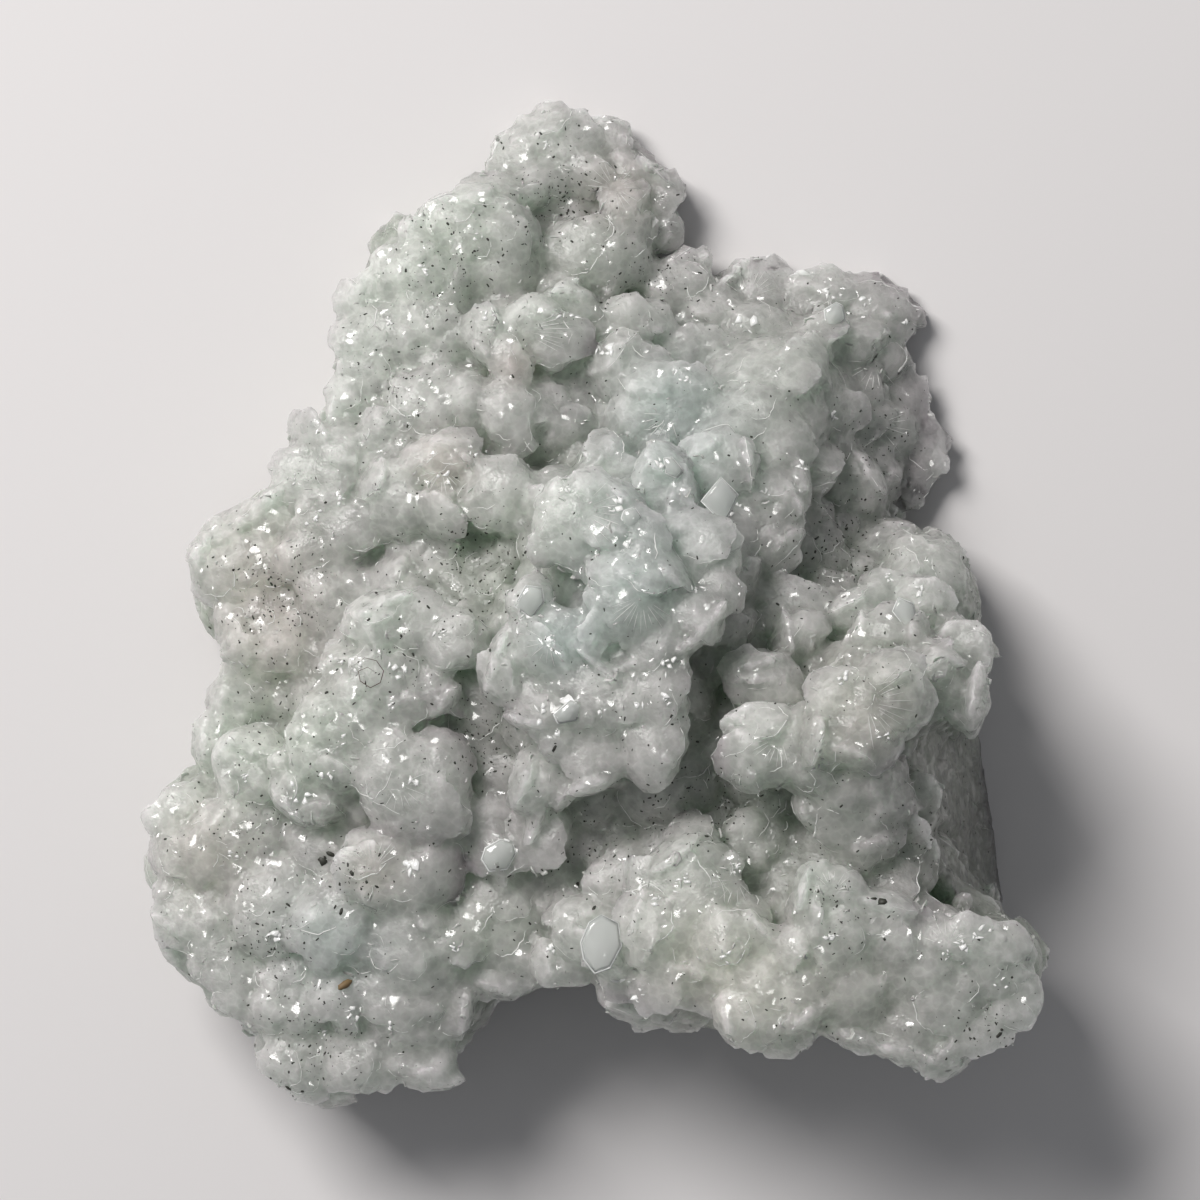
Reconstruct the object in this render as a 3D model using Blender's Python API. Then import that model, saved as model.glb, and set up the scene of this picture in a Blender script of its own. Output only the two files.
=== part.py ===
"""Prehnite cluster: one crust of pale green prehnite, all of it grown together, so it is one solid.

The crust lies flat with its knobs up. +X runs to the right, +Y to the back and +Z up, and the
origin is under the middle of the crust, on the surface that it rests on. The tables below are in
millimetres and degrees. Their x and y are counted from TABLE_ORIGIN, and the object is built in
metres.
"""

import math
import random

import bpy
import bmesh
from mathutils import Matrix, Vector, noise

MM = 0.001
NAME = "prehnite_cluster"
TABLE_ORIGIN = Vector((0.0, -0.31, 0.0))

# Heights: the crust is a wedge, so the floor between its knobs sinks towards the back
FOOT_Z = 0.0
FLOOR_Z = 7.0
FLOOR_SLOPE = 0.16
FLOOR_OVER_EDGE = 1.8
MOUND_CENTRE_DROP = 3.0
FOOT_ALLOWANCE = 4.0

# The plate's outline, anticlockwise from the back: widest edge x, y, z, then foot x, y under it
PLATE = (
    (-1.5, 34.6, 0.9, -1.5, 33.8),
    (-5.1, 31.9, 1.0, -4.9, 30.8),
    (-10.3, 27.7, 1.9, -9.4, 25.3),
    (-15.4, 22.0, 2.6, -13.4, 19.1),
    (-17.4, 14.3, 3.5, -13.7, 11.3),
    (-20.9, 8.7, 4.3, -15.7, 6.5),
    (-26.5, 3.6, 4.4, -20.0, 2.0),
    (-25.5, -2.0, 4.9, -21.0, -2.0),
    (-25.4, -7.6, 5.2, -22.5, -7.5),
    (-28.5, -12.2, 4.9, -24.0, -11.5),
    (-30.6, -16.3, 4.8, -25.5, -16.0),
    (-30.0, -21.4, 4.7, -24.5, -21.0),
    (-26.9, -27.5, 5.0, -21.5, -25.5),
    (-21.8, -33.3, 5.2, -18.5, -29.0),
    (-15.7, -34.3, 5.4, -14.5, -29.5),
    (-11.1, -31.9, 5.9, -12.0, -27.0),
    (-8.1, -27.8, 6.5, -11.0, -20.0),
    (-2.0, -25.8, 7.5, -4.0, -16.0),
    (3.0, -26.1, 8.2, 4.0, -16.0),
    (7.6, -27.8, 8.6, 10.0, -19.5),
    (10.6, -29.8, 8.8, 12.5, -26.0),
    (17.2, -29.3, 9.0, 17.0, -26.5),
    (24.7, -31.3, 9.1, 22.5, -27.0),
    (30.1, -28.3, 9.1, 26.5, -25.0),
    (27.6, -22.2, 12.5, 29.8, -21.5),
    (24.2, -16.2, 15.5, 29.1, -16.0),
    (23.9, -9.8, 15.5, 28.1, -9.0),
    (26.5, -3.1, 7.2, 25.5, -4.0),
    (23.6, 1.5, 4.4, 22.2, 0.7),
    (21.0, 7.2, 0.9, 20.5, 7.0),
    (21.2, 15.4, 0.9, 20.7, 15.0),
    (21.1, 21.1, 0.9, 20.6, 20.6),
    (14.2, 21.1, 0.9, 13.8, 20.6),
    (9.7, 22.1, 0.9, 9.5, 21.5),
    (2.9, 26.0, 0.9, 2.8, 25.3),
    (2.6, 30.8, 0.9, 2.5, 30.0),
)
FLOOR_INSET = 0.94

# Broad mounds under the knobs: x, y, top, half length, half width, turn
MOUNDS = (
    (-1.0, 30.4, 2.1, 5.0, 4.2, 90),
    (-0.5, 25.4, 4.7, 4.0, 4.0, 0),
    (-9.6, 22.2, 7.9, 7.0, 6.5, 60),
    (-11.5, 12.5, 10.7, 7.0, 6.5, 0),
    (-17.1, 8.0, 10.4, 5.5, 4.5, 40),
    (-21.6, 2.0, 9.8, 6.5, 5.5, 35),
    (-18.1, -1.0, 11.4, 6.0, 5.5, 0),
    (-14.4, -4.0, 15.6, 5.0, 4.8, 0),
    (-16.4, -10.9, 15.8, 6.0, 5.2, -20),
    (-23.0, -17.0, 11.8, 8.5, 7.5, 40),
    (-15.9, -21.9, 14.4, 8.0, 7.0, 90),
    (-17.4, -28.9, 12.0, 7.0, 5.8, 0),
    (-24.5, -24.0, 11.0, 6.0, 5.0, -50),
    (-7.0, -22.3, 13.1, 5.0, 5.0, 0),
    (-5.0, -15.4, 14.8, 5.0, 3.5, 0),
    (8.9, 8.4, 13.6, 13.5, 6.6, 58),
    (3.0, 15.6, 9.3, 4.0, 4.2, 0),
    (14.6, 18.7, 3.6, 8.5, 5.0, 15),
    (1.5, -5.4, 20.7, 6.5, 4.6, 70),
    (-1.5, -10.4, 18.3, 4.5, 3.6, 30),
    (7.4, -23.6, 20.7, 5.5, 4.6, 80),
    (11.8, -26.0, 21.7, 5.5, 4.2, 0),
    (17.3, -22.2, 21.7, 5.5, 3.6, 80),
    (22.2, -26.7, 20.3, 7.5, 4.5, 0),
    (27.7, -25.7, 20.5, 4.0, 3.8, 90),
    (18.4, -8.0, 21.7, 5.0, 4.2, 35),
    (12.9, -9.5, 19.8, 3.8, 3.6, 0),
    (17.6, -1.0, 14.3, 6.0, 3.4, -5),
    (23.6, 0.5, 12.1, 5.0, 3.6, -65),
    (25.4, -5.0, 16.6, 4.0, 2.6, 80),
    (21.4, 12.2, 2.2, 7.0, 3.4, 85),
    (18.2, 8.6, 5.5, 4.0, 3.0, 80),
)

# Knobs that meet the eye from above, by region: x, y, top, half length, half width, turn
KNOBS = {
    "summit": (
        (-2.3, 31.5, 3.8, 4.0, 3.9, 90),
        (0.9, 33.0, 2.5, 2.1, 2.0, 0),
        (1.8, 30.0, 3.7, 2.5, 2.4, 0),
        (4.0, 31.0, 2.5, 1.2, 1.1, 0),
        (5.2, 29.6, 3.5, 1.0, 0.9, 0),
        (5.0, 27.5, 3.2, 1.2, 1.1, 90),
        (3.5, 27.1, 2.8, 1.9, 1.7, 0),
        (7.2, 24.7, 2.9, 1.2, 1.0, 0),
        (6.1, 22.8, 4.0, 2.5, 2.1, 0),
        (0.0, 25.1, 6.5, 3.4, 2.7, 20),
    ),
    "upper_left": (
        (-8.0, 25.7, 8.3, 3.9, 3.7, 45),
        (-12.4, 26.5, 7.8, 1.3, 1.2, 0),
        (-6.9, 29.3, 5.3, 1.4, 1.2, 0),
        (-10.8, 27.5, 7.8, 1.8, 1.5, 30),
        (-12.0, 22.8, 9.6, 3.0, 2.7, 0),
        (-14.2, 23.7, 8.3, 2.0, 1.7, 40),
        (-16.2, 21.3, 8.1, 2.0, 1.8, 60),
        (-15.8, 17.5, 9.7, 2.9, 2.4, 90),
        (-16.6, 14.7, 9.4, 2.0, 1.9, 90),
        (-11.9, 19.3, 10.5, 3.1, 2.6, 0),
        (-7.0, 19.2, 11.5, 2.0, 1.9, 0),
        (-4.7, 20.3, 11.6, 2.4, 1.4, 15),
        (-2.6, 18.7, 11.2, 1.7, 1.6, 0),
        (-1.6, 21.1, 9.2, 1.9, 1.5, -45),
    ),
    "left_middle": (
        (-5.6, 16.9, 12.2, 1.5, 1.3, 0),
        (-5.7, 14.0, 12.5, 2.2, 1.8, 80),
        (-11.0, 13.6, 11.9, 4.2, 3.0, 5),
        (-14.3, 11.9, 12.1, 2.3, 1.9, 0),
        (-10.5, 9.9, 14.5, 2.4, 1.7, -5),
        (-6.9, 8.3, 14.8, 2.5, 2.1, 10),
        (-6.2, 7.2, 15.2, 2.7, 1.9, 15),
        (-13.4, 8.1, 14.2, 2.3, 2.2, 0),
        (-10.2, 6.9, 14.8, 1.3, 1.2, 90),
        (-5.3, 11.5, 11.6, 1.3, 1.2, 0),
        (-3.0, 13.2, 9.8, 2.3, 2.1, 90),
        (0.9, 10.4, 12.1, 1.0, 0.8, 0),
    ),
    "left_shoulder": (
        (-18.7, 11.7, 10.5, 1.6, 1.4, 60),
        (-17.4, 9.8, 11.6, 2.5, 2.1, 20),
        (-20.5, 8.7, 10.8, 2.0, 1.9, 0),
        (-19.4, 6.7, 12.0, 1.7, 1.4, 90),
        (-22.8, 6.5, 10.0, 1.6, 1.2, 15),
        (-24.6, 5.4, 9.8, 1.5, 1.3, 0),
        (-26.6, 4.0, 9.6, 1.8, 1.5, 60),
        (-26.8, 2.2, 9.5, 1.5, 1.4, 0),
        (-23.9, 2.2, 11.1, 3.4, 3.0, 0),
        (-19.6, 4.0, 12.0, 3.0, 1.8, 20),
        (-16.5, 5.6, 12.6, 2.2, 1.6, 10),
        (-25.2, -1.2, 10.5, 1.8, 1.6, 0),
        (-22.4, -2.5, 12.0, 3.9, 2.6, -20),
        (-18.4, 0.4, 12.3, 2.6, 2.2, 0),
        (-24.4, -6.2, 10.0, 2.7, 2.2, 80),
        (-26.2, -9.4, 9.3, 2.0, 1.7, 60),
    ),
    "left_knobs": (
        (-13.3, -1.6, 17.5, 3.5, 2.2, -5),
        (-9.5, -2.6, 17.5, 1.9, 1.6, 90),
        (-14.2, -5.5, 17.4, 3.3, 2.2, 0),
        (-11.0, -5.9, 17.2, 1.7, 1.3, 90),
        (-17.5, -4.3, 15.7, 1.4, 1.2, 0),
        (-17.3, -9.1, 17.3, 4.0, 3.3, 10),
        (-13.0, -12.0, 18.4, 3.9, 3.1, -50),
        (-11.3, -10.9, 17.3, 2.2, 1.8, 90),
        (-19.8, -12.3, 16.0, 2.8, 2.6, 0),
        (-23.8, -11.4, 13.5, 2.9, 2.5, 0),
    ),
    "lower_left": (
        (-29.4, -14.7, 10.9, 2.4, 1.5, 25),
        (-28.4, -17.4, 11.8, 2.6, 2.2, 90),
        (-29.1, -21.1, 11.1, 2.2, 1.7, 90),
        (-24.9, -16.6, 13.3, 3.9, 3.3, 30),
        (-26.1, -23.5, 12.3, 3.4, 3.1, 90),
        (-21.9, -21.5, 14.0, 3.2, 3.0, 0),
        (-17.7, -22.6, 15.5, 3.3, 3.0, 0),
        (-15.1, -18.6, 17.7, 2.8, 2.3, -50),
        (-12.1, -18.6, 16.9, 2.0, 1.8, 60),
        (-12.7, -23.3, 16.2, 3.4, 3.1, 90),
        (-13.1, -27.5, 14.9, 3.3, 3.1, 90),
        (-17.4, -27.3, 14.3, 2.3, 2.0, 0),
        (-21.0, -27.4, 13.5, 2.9, 2.4, 20),
        (-24.4, -27.3, 12.1, 2.9, 2.0, -45),
        (-20.1, -31.6, 12.3, 3.0, 2.6, -20),
        (-16.1, -31.6, 13.1, 3.3, 2.9, 0),
        (-12.1, -31.6, 13.2, 2.6, 2.0, -35),
        (-10.3, -27.5, 13.9, 2.7, 1.7, 100),
    ),
    "front_hollow": (
        (-6.9, -22.4, 14.7, 3.6, 3.4, 0),
        (-9.2, -23.1, 15.3, 1.2, 0.8, 110),
        (-7.6, -15.5, 15.2, 2.6, 2.0, 0),
        (-6.2, -17.3, 16.2, 1.7, 1.4, 20),
        (-3.2, -15.9, 16.6, 1.8, 1.4, 90),
        (-0.3, -22.6, 17.8, 2.5, 1.8, -5),
        (-1.6, -25.2, 15.7, 2.3, 1.5, 0),
        (-6.0, -25.8, 13.8, 2.4, 1.5, 10),
        (3.0, -26.8, 16.0, 2.8, 1.8, -10),
        (6.3, -27.0, 16.8, 2.0, 1.5, 0),
        (5.8, -12.2, 16.7, 2.5, 2.1, 30),
        (11.5, -16.7, 17.9, 2.4, 2.0, 0),
        (2.2, -19.5, 16.3, 2.8, 2.2, 0),
    ),
    "ridge_top": (
        (2.2, 19.9, 8.6, 2.4, 1.9, 0),
        (2.9, 17.3, 10.4, 2.6, 1.5, 0),
        (4.6, 20.1, 7.0, 1.6, 1.1, 90),
        (5.3, 14.0, 12.1, 3.1, 2.8, 0),
        (11.0, 21.9, 2.5, 2.7, 2.2, 10),
        (8.7, 20.7, 4.2, 1.9, 1.6, 0),
        (11.3, 19.9, 4.2, 1.8, 1.5, 60),
        (7.4, 18.2, 7.0, 2.2, 1.5, 10),
        (9.6, 17.5, 7.0, 2.0, 1.8, 0),
        (13.1, 18.0, 5.7, 2.6, 2.0, 10),
        (16.0, 22.0, 3.0, 2.1, 2.0, 0),
        (18.7, 20.7, 2.6, 3.2, 2.5, -10),
        (21.5, 20.7, 2.3, 2.0, 1.5, 100),
        (17.5, 18.1, 5.0, 2.8, 1.4, 15),
        (19.9, 17.9, 3.1, 2.3, 1.9, 10),
        (9.6, 14.3, 10.3, 1.5, 1.4, 0),
        (11.7, 14.3, 9.8, 1.9, 1.7, 0),
        (14.1, 14.8, 8.7, 2.6, 2.0, 10),
        (17.0, 13.3, 8.3, 2.6, 1.9, 80),
        (21.3, 13.0, 2.9, 2.9, 1.4, 90),
        (20.6, 9.1, 3.9, 1.9, 1.3, 60),
        (18.6, 8.4, 7.1, 2.2, 1.9, 80),
    ),
    "ridge_middle": (
        (4.9, 8.2, 18.5, 2.5, 1.9, 100),
        (8.7, 9.8, 15.4, 2.3, 1.8, 0),
        (12.3, 10.3, 13.3, 2.8, 2.5, 0),
        (15.5, 9.5, 10.2, 1.9, 1.4, 30),
        (11.9, 6.3, 14.4, 2.9, 2.5, 60),
        (13.0, 4.5, 14.0, 1.5, 1.1, 50),
        (-1.0, 5.8, 22.3, 3.1, 3.1, 0),
        (1.1, 7.0, 21.3, 1.6, 1.4, 20),
        (2.4, 4.2, 22.7, 2.7, 2.1, -20),
        (7.3, 3.0, 20.7, 3.1, 2.9, 60),
        (2.7, 1.2, 23.9, 3.2, 2.9, 20),
        (8.3, 0.4, 21.7, 1.9, 1.2, 25),
        (6.2, -1.4, 22.9, 2.2, 1.6, 30),
    ),
    "ridge_end": (
        (-4.2, 0.2, 21.4, 1.5, 1.3, 0),
        (-2.2, -2.3, 22.1, 2.6, 2.0, 0),
        (0.2, -2.1, 22.5, 1.0, 0.9, 90),
        (-5.1, -4.5, 20.9, 2.1, 2.0, 90),
        (-1.0, -4.9, 21.9, 2.3, 1.7, 0),
        (-2.6, -7.1, 21.5, 2.3, 1.2, 10),
        (1.5, -6.2, 22.7, 2.8, 2.1, 0),
        (4.6, -3.7, 22.9, 2.0, 1.8, 90),
        (4.9, -6.5, 23.1, 1.9, 1.6, 90),
        (4.7, -9.4, 23.0, 2.5, 1.8, 80),
        (-1.9, -9.1, 21.4, 1.9, 1.3, 10),
        (0.4, -10.6, 21.4, 2.5, 1.9, 20),
        (-3.3, -12.4, 19.0, 2.2, 1.7, 30),
    ),
    "right_side": (
        (22.0, 4.6, 4.8, 1.4, 1.2, 100),
        (22.9, 2.7, 8.2, 1.8, 1.5, 110),
        (21.3, 0.9, 14.5, 2.2, 1.6, 10),
        (23.3, 0.4, 15.2, 1.6, 1.4, 0),
        (15.0, -0.2, 14.9, 2.7, 1.8, -15),
        (18.5, -0.4, 15.7, 1.8, 1.2, 20),
        (14.8, -1.9, 16.4, 1.4, 1.1, 20),
        (20.8, -2.1, 17.8, 2.4, 1.5, 0),
        (26.2, -3.0, 16.9, 1.9, 1.6, 110),
        (24.1, -5.0, 19.4, 1.8, 1.4, 100),
        (25.9, -6.8, 18.3, 1.6, 1.2, 90),
        (12.2, -5.5, 18.3, 2.4, 1.7, 0),
        (12.5, -9.7, 23.8, 3.0, 2.8, 0),
        (15.0, -11.0, 24.2, 1.7, 1.4, -30),
        (17.9, -7.8, 26.0, 3.3, 2.9, 35),
        (20.6, -6.3, 25.0, 2.7, 2.1, 75),
        (18.1, -11.9, 23.4, 2.6, 2.0, 0),
        (18.0, -13.2, 22.3, 3.8, 3.0, 0),
        (18.9, -15.8, 20.8, 2.1, 1.7, 10),
    ),
    "front_left_lobes": (
        (7.0, -18.3, 21.7, 3.1, 1.7, 10),
        (4.0, -18.8, 20.6, 1.4, 1.2, 0),
        (9.8, -18.0, 21.6, 0.9, 0.8, 90),
        (7.8, -20.2, 22.1, 2.2, 1.6, 0),
        (7.1, -16.6, 18.8, 1.5, 1.1, 20),
        (5.8, -22.8, 22.6, 3.3, 2.6, 10),
        (3.1, -23.6, 20.6, 1.4, 1.2, 0),
        (2.3, -25.1, 20.1, 1.9, 1.0, -20),
        (6.3, -25.5, 21.9, 3.1, 1.8, -15),
        (9.9, -23.9, 23.7, 3.1, 2.5, 0),
        (12.1, -26.7, 23.8, 3.5, 3.1, -10),
        (12.1, -29.0, 21.6, 2.9, 1.5, 0),
        (10.4, -21.6, 21.3, 1.8, 1.4, 0),
        (14.1, -23.5, 23.8, 1.1, 1.0, 0),
    ),
    "front_right_lobes": (
        (16.3, -19.4, 24.4, 2.1, 1.6, -15),
        (16.8, -22.1, 24.4, 2.5, 2.3, 90),
        (17.4, -25.5, 23.0, 2.9, 2.6, 90),
        (20.4, -22.3, 23.1, 2.2, 1.4, 110),
        (21.2, -25.1, 22.5, 2.5, 2.2, 0),
        (18.6, -28.3, 21.4, 2.5, 1.9, 0),
        (23.5, -24.0, 22.9, 2.0, 1.7, 80),
        (22.4, -28.9, 21.6, 3.0, 2.3, 10),
        (24.3, -30.2, 20.4, 2.2, 1.7, 25),
        (25.5, -23.0, 23.4, 1.6, 1.3, 40),
        (27.4, -24.7, 23.1, 2.6, 2.5, 0),
        (29.6, -24.1, 21.2, 1.4, 1.1, -40),
        (29.2, -27.1, 21.8, 2.2, 2.0, 90),
        (27.0, -29.0, 21.1, 1.9, 1.7, 0),
        (24.5, -27.1, 22.3, 2.1, 1.8, 0),
    ),
}

# Hollows between the knobs: x, y, height of their floor
HOLLOWS = (
    (-8.0, 4.0, 14.0),
    (-10.5, 2.0, 14.1),
    (-6.0, 1.5, 15.3),
    (-5.5, -1.5, 15.9),
    (-7.5, -7.5, 15.4),
    (-8.0, -11.9, 15.2),
    (-8.4, -18.9, 14.5),
    (-4.0, -19.3, 15.0),
    (0.0, -17.4, 15.9),
    (3.0, -14.7, 16.7),
    (2.0, -20.8, 17.1),
    (1.5, 23.3, 5.7),
    (-2.5, 22.8, 7.2),
    (4.6, 22.8, 4.4),
    (-1.0, 15.6, 9.0),
    (-1.5, 12.1, 11.1),
    (14.6, 2.5, 12.0),
    (17.1, 4.0, 10.0),
    (20.7, 4.5, 6.9),
    (8.7, -4.5, 17.2),
    (9.0, -8.0, 17.8),
    (8.0, -13.0, 17.5),
    (10.5, -13.5, 18.1),
    (13.9, -14.4, 19.1),
    (13.4, -17.4, 19.0),
    (16.0, -5.0, 18.2),
    (22.4, -11.5, 20.3),
    (23.5, -8.5, 19.3),
    (22.4, -15.9, 20.1),
    (21.3, -19.4, 20.3),
    (-20.4, -7.0, 13.1),
    (-24.0, -9.0, 11.4),
    (-22.9, -23.9, 12.6),
    (-17.9, -15.9, 14.9),
)

# Bed of small knobs that fills the space between the named ones
BED_SEED = 3
BED_STEP = 1.9
BED_REACH = 3.2
BED_DROP = 3.4
BED_RADIUS = (1.2, 1.9)
BED_UNEVEN = (-0.9, 0.9)
BED_ROOT_DROP = 2.0
BED_EDGE_SHARE = 0.955

# How knobs are shaped
KNOB_DEPTH_SHARE = 0.8
KNOB_ROOT = 2.4
KNOB_WARP = 0.10
MOUND_WARP = 0.12
WARP_SIZE = 2.2

# Small knobs that cover the crust's flanks, in rows round the plate
FLANK_SEED = 7
FLANK_ROWS = ((-2.2, 0.84), (0.6, 0.95), (2.8, 0.92))
FLANK_STEP = 2.6
FLANK_RADIUS = (1.1, 2.0)
BARE_WALL = ((22.8, -21.6), (40.0, -8.2))

# Fineness of the solid
MOUND_DETAIL = 4
KNOB_DETAIL = 3
BED_DETAIL = 2
REMESH_STEP = 0.55
KEEP_SHARE = 0.083
CUTTER_SIZE = 120.0
CUTTER_DEPTH = 20.0

# The prehnite's finish
COLOUR = (0.47, 0.50, 0.455, 1.0)
ROUGHNESS = 0.32


def clear_scene():
    for old in list(bpy.data.objects):
        bpy.data.objects.remove(old, do_unlink=True)


class Solids:
    """Closed surfaces that are gathered as plain lists and then made into one mesh."""

    def __init__(self):
        self.points = []
        self.faces = []
        self.spheres = {}

    def sphere(self, detail):
        """A unit icosphere's points and faces, made once for each detail."""
        if detail not in self.spheres:
            bm = bmesh.new()
            bmesh.ops.create_icosphere(bm, subdivisions=detail, radius=1.0)
            points = [vertex.co.copy() for vertex in bm.verts]
            faces = [[vertex.index for vertex in face.verts] for face in bm.faces]
            self.spheres[detail] = (points, faces)
            bm.free()
        return self.spheres[detail]

    def add(self, points, faces):
        start = len(self.points)
        self.points.extend(points)
        self.faces.extend([start + i for i in face] for face in faces)

    def add_knob(self, centre, radii, root, turn, detail, warp, seed):
        """A slightly uneven ellipsoid, turned about +Z, its lower half drawn down to a root."""
        unit_points, faces = self.sphere(detail)
        spin = Matrix.Rotation(math.radians(turn), 3, "Z")
        shift = Vector((seed, -seed, 2.0 * seed))
        points = []
        for unit in unit_points:
            place = Vector((unit.x * radii[0], unit.y * radii[1], unit.z * radii[2]))
            swell = 1.0 + warp * noise.noise(place / WARP_SIZE + shift)
            if place.z < 0:
                place.z *= root
            points.append(centre + spin @ place * swell)
        self.add(points, faces)


def floor_level(y):
    return FLOOR_Z - FLOOR_SLOPE * y


def add_mounds(solids):
    for number, (x, y, top, along, across, turn) in enumerate(MOUNDS):
        centre = Vector((x, y, floor_level(y) - MOUND_CENTRE_DROP))
        radii = (along, across, top - centre.z)
        solids.add_knob(centre, radii, 0.35, turn, MOUND_DETAIL, MOUND_WARP, number)


def add_knobs(solids):
    number = 100
    for region in KNOBS.values():
        for x, y, top, along, across, turn in region:
            deep = KNOB_DEPTH_SHARE * (along + across) / 2
            centre = Vector((x, y, top - deep))
            radii = (along, across, deep)
            solids.add_knob(centre, radii, KNOB_ROOT, turn, KNOB_DETAIL, KNOB_WARP, number)
            number += 1


def outline_point(loop, share):
    """The point at a share of the way round a closed loop."""
    pairs = list(zip(loop, loop[1:] + loop[:1]))
    left = share * sum(math.dist(start, end) for start, end in pairs)
    for start, end in pairs:
        length = math.dist(start, end)
        if left <= length:
            return Vector(start).lerp(Vector(end), left / length)
        left -= length
    return Vector(loop[0])


def on_bare_wall(point):
    low, high = BARE_WALL
    return low[0] < point.x < high[0] and low[1] < point.y < high[1]


def add_flank_knobs(solids):
    """Rows of small knobs round the plate's sides, except on the broken wall at the right."""
    rng = random.Random(FLANK_SEED)
    edge = [(x, y, z) for x, y, z, _, _ in PLATE]
    length = sum(math.dist(a, b) for a, b in zip(edge, edge[1:] + edge[:1]))
    steps = round(length / FLANK_STEP)
    for height, reach in FLANK_ROWS:
        for step in range(steps):
            radius = rng.uniform(*FLANK_RADIUS)
            point = outline_point(edge, (step + rng.random()) / steps)
            lift = height + rng.uniform(-0.8, 0.8)
            turn = rng.uniform(0, 180)
            if on_bare_wall(point) or point.z + lift < 0:
                continue
            centre = Vector((point.x * reach, point.y * reach, point.z + lift))
            radii = (radius * 1.15, radius, radius * 0.9)
            solids.add_knob(centre, radii, 1.0, turn, KNOB_DETAIL, KNOB_WARP, 500 + step)


def inside(loop, x, y):
    """True where a point lies inside a closed loop of x, y pairs."""
    odd = False
    for (x1, y1), (x2, y2) in zip(loop, loop[1:] + loop[:1]):
        if (y1 > y) != (y2 > y) and x < x1 + (y - y1) / (y2 - y1) * (x2 - x1):
            odd = not odd
    return odd


def bed_height(x, y, heights):
    """A smooth height under the knobs' tops and through the hollows' floors."""
    total = 1e-6
    lift = 1e-6 * FLOOR_Z
    for near_x, near_y, height in heights:
        weight = math.exp(-((x - near_x) ** 2 + (y - near_y) ** 2) / BED_REACH ** 2)
        total += weight
        lift += weight * height
    return lift / total


def add_bed(solids):
    """Small knobs on an uneven grid, as high as the bed is where each one stands."""
    rng = random.Random(BED_SEED)
    heights = [(x, y, top - BED_DROP) for region in KNOBS.values() for x, y, top, _, _, _ in region]
    heights += HOLLOWS
    edge = [(x * BED_EDGE_SHARE, y * BED_EDGE_SHARE) for x, y, _, _, _ in PLATE]
    rows = round(72 / BED_STEP)
    for row in range(rows):
        for column in range(rows):
            x = -36 + (column + rng.uniform(0.1, 0.9)) * BED_STEP
            y = -36 + (row + rng.uniform(0.1, 0.9)) * BED_STEP
            radius = rng.uniform(*BED_RADIUS)
            uneven = rng.uniform(*BED_UNEVEN)
            if not inside(edge, x, y) or on_bare_wall(Vector((x, y))):
                continue
            centre_z = max(bed_height(x, y, heights) + uneven - radius * 0.8, floor_level(y) - 1)
            root = max((centre_z - floor_level(y) + BED_ROOT_DROP) / (radius * 0.8), 1.0)
            centre = Vector((x, y, centre_z))
            radii = (radius, radius, radius * 0.8)
            solids.add_knob(centre, radii, root, 0, BED_DETAIL, KNOB_WARP, row + column)


def add_plate(solids):
    """The crust's plate: a foot, a wider edge above it and a floor on top."""
    rings = (
        [Vector((x, y, FOOT_Z - FOOT_ALLOWANCE)) for _, _, _, x, y in PLATE],
        [Vector((x, y, FOOT_Z)) for _, _, _, x, y in PLATE],
        [Vector((x, y, z)) for x, y, z, _, _ in PLATE],
        [Vector((x * FLOOR_INSET, y * FLOOR_INSET, z + FLOOR_OVER_EDGE)) for x, y, z, _, _ in PLATE],
    )
    count = len(PLATE)
    points = [point for ring in rings for point in ring]
    faces = [list(reversed(range(count))), list(range(3 * count, 4 * count))]
    for level in (0, count, 2 * count):
        for i in range(count):
            j = (i + 1) % count
            faces.append([level + i, level + j, level + count + j, level + count + i])
    solids.add(points, faces)


def crust_mesh():
    solids = Solids()
    add_plate(solids)
    add_mounds(solids)
    add_knobs(solids)
    add_bed(solids)
    add_flank_knobs(solids)
    mesh = bpy.data.meshes.new(NAME)
    points = [(point + TABLE_ORIGIN) * MM for point in solids.points]
    mesh.from_pydata(points, [], solids.faces)
    mesh.update()
    return mesh


def prehnite():
    material = bpy.data.materials.new("prehnite")
    material.use_nodes = True
    shader = material.node_tree.nodes["Principled BSDF"]
    shader.inputs["Base Color"].default_value = COLOUR
    shader.inputs["Roughness"].default_value = ROUGHNESS
    shader.inputs["Metallic"].default_value = 0.0
    return material


def floor_cutter():
    """A block below the surface that the crust rests on, which cuts its foot flat."""
    bpy.ops.mesh.primitive_cube_add(size=1.0, location=(0, 0, -CUTTER_DEPTH / 2 * MM))
    cutter = bpy.context.object
    cutter.name = "foot_cutter"
    cutter.data.transform(Matrix.Diagonal((CUTTER_SIZE * MM, CUTTER_SIZE * MM, CUTTER_DEPTH * MM, 1)))
    cutter.hide_render = True
    cutter.display_type = "WIRE"
    return cutter


def build():
    clear_scene()
    crust = bpy.data.objects.new(NAME, crust_mesh())
    bpy.context.scene.collection.objects.link(crust)
    crust.data.materials.append(prehnite())

    fuse = crust.modifiers.new("fuse", "REMESH")
    fuse.mode = "VOXEL"
    fuse.voxel_size = REMESH_STEP * MM

    facet = crust.modifiers.new("facet", "DECIMATE")
    facet.ratio = KEEP_SHARE

    foot = crust.modifiers.new("flat_foot", "BOOLEAN")
    foot.operation = "DIFFERENCE"
    foot.solver = "EXACT"
    foot.object = floor_cutter()


build()
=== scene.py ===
"""Looks of the prehnite cluster: a fine crust of overlapping crystal shells, small bright crystals,
clear crystals, dark grains and lint, with a pale table, soft light and a camera straight above.

The tables are in millimetres and degrees, with +X to the right, +Y to the back and +Z up. Their x
and y are counted from TABLE_ORIGIN, as in the part's own source. The scene is built in metres.
"""

import math
import random

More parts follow.
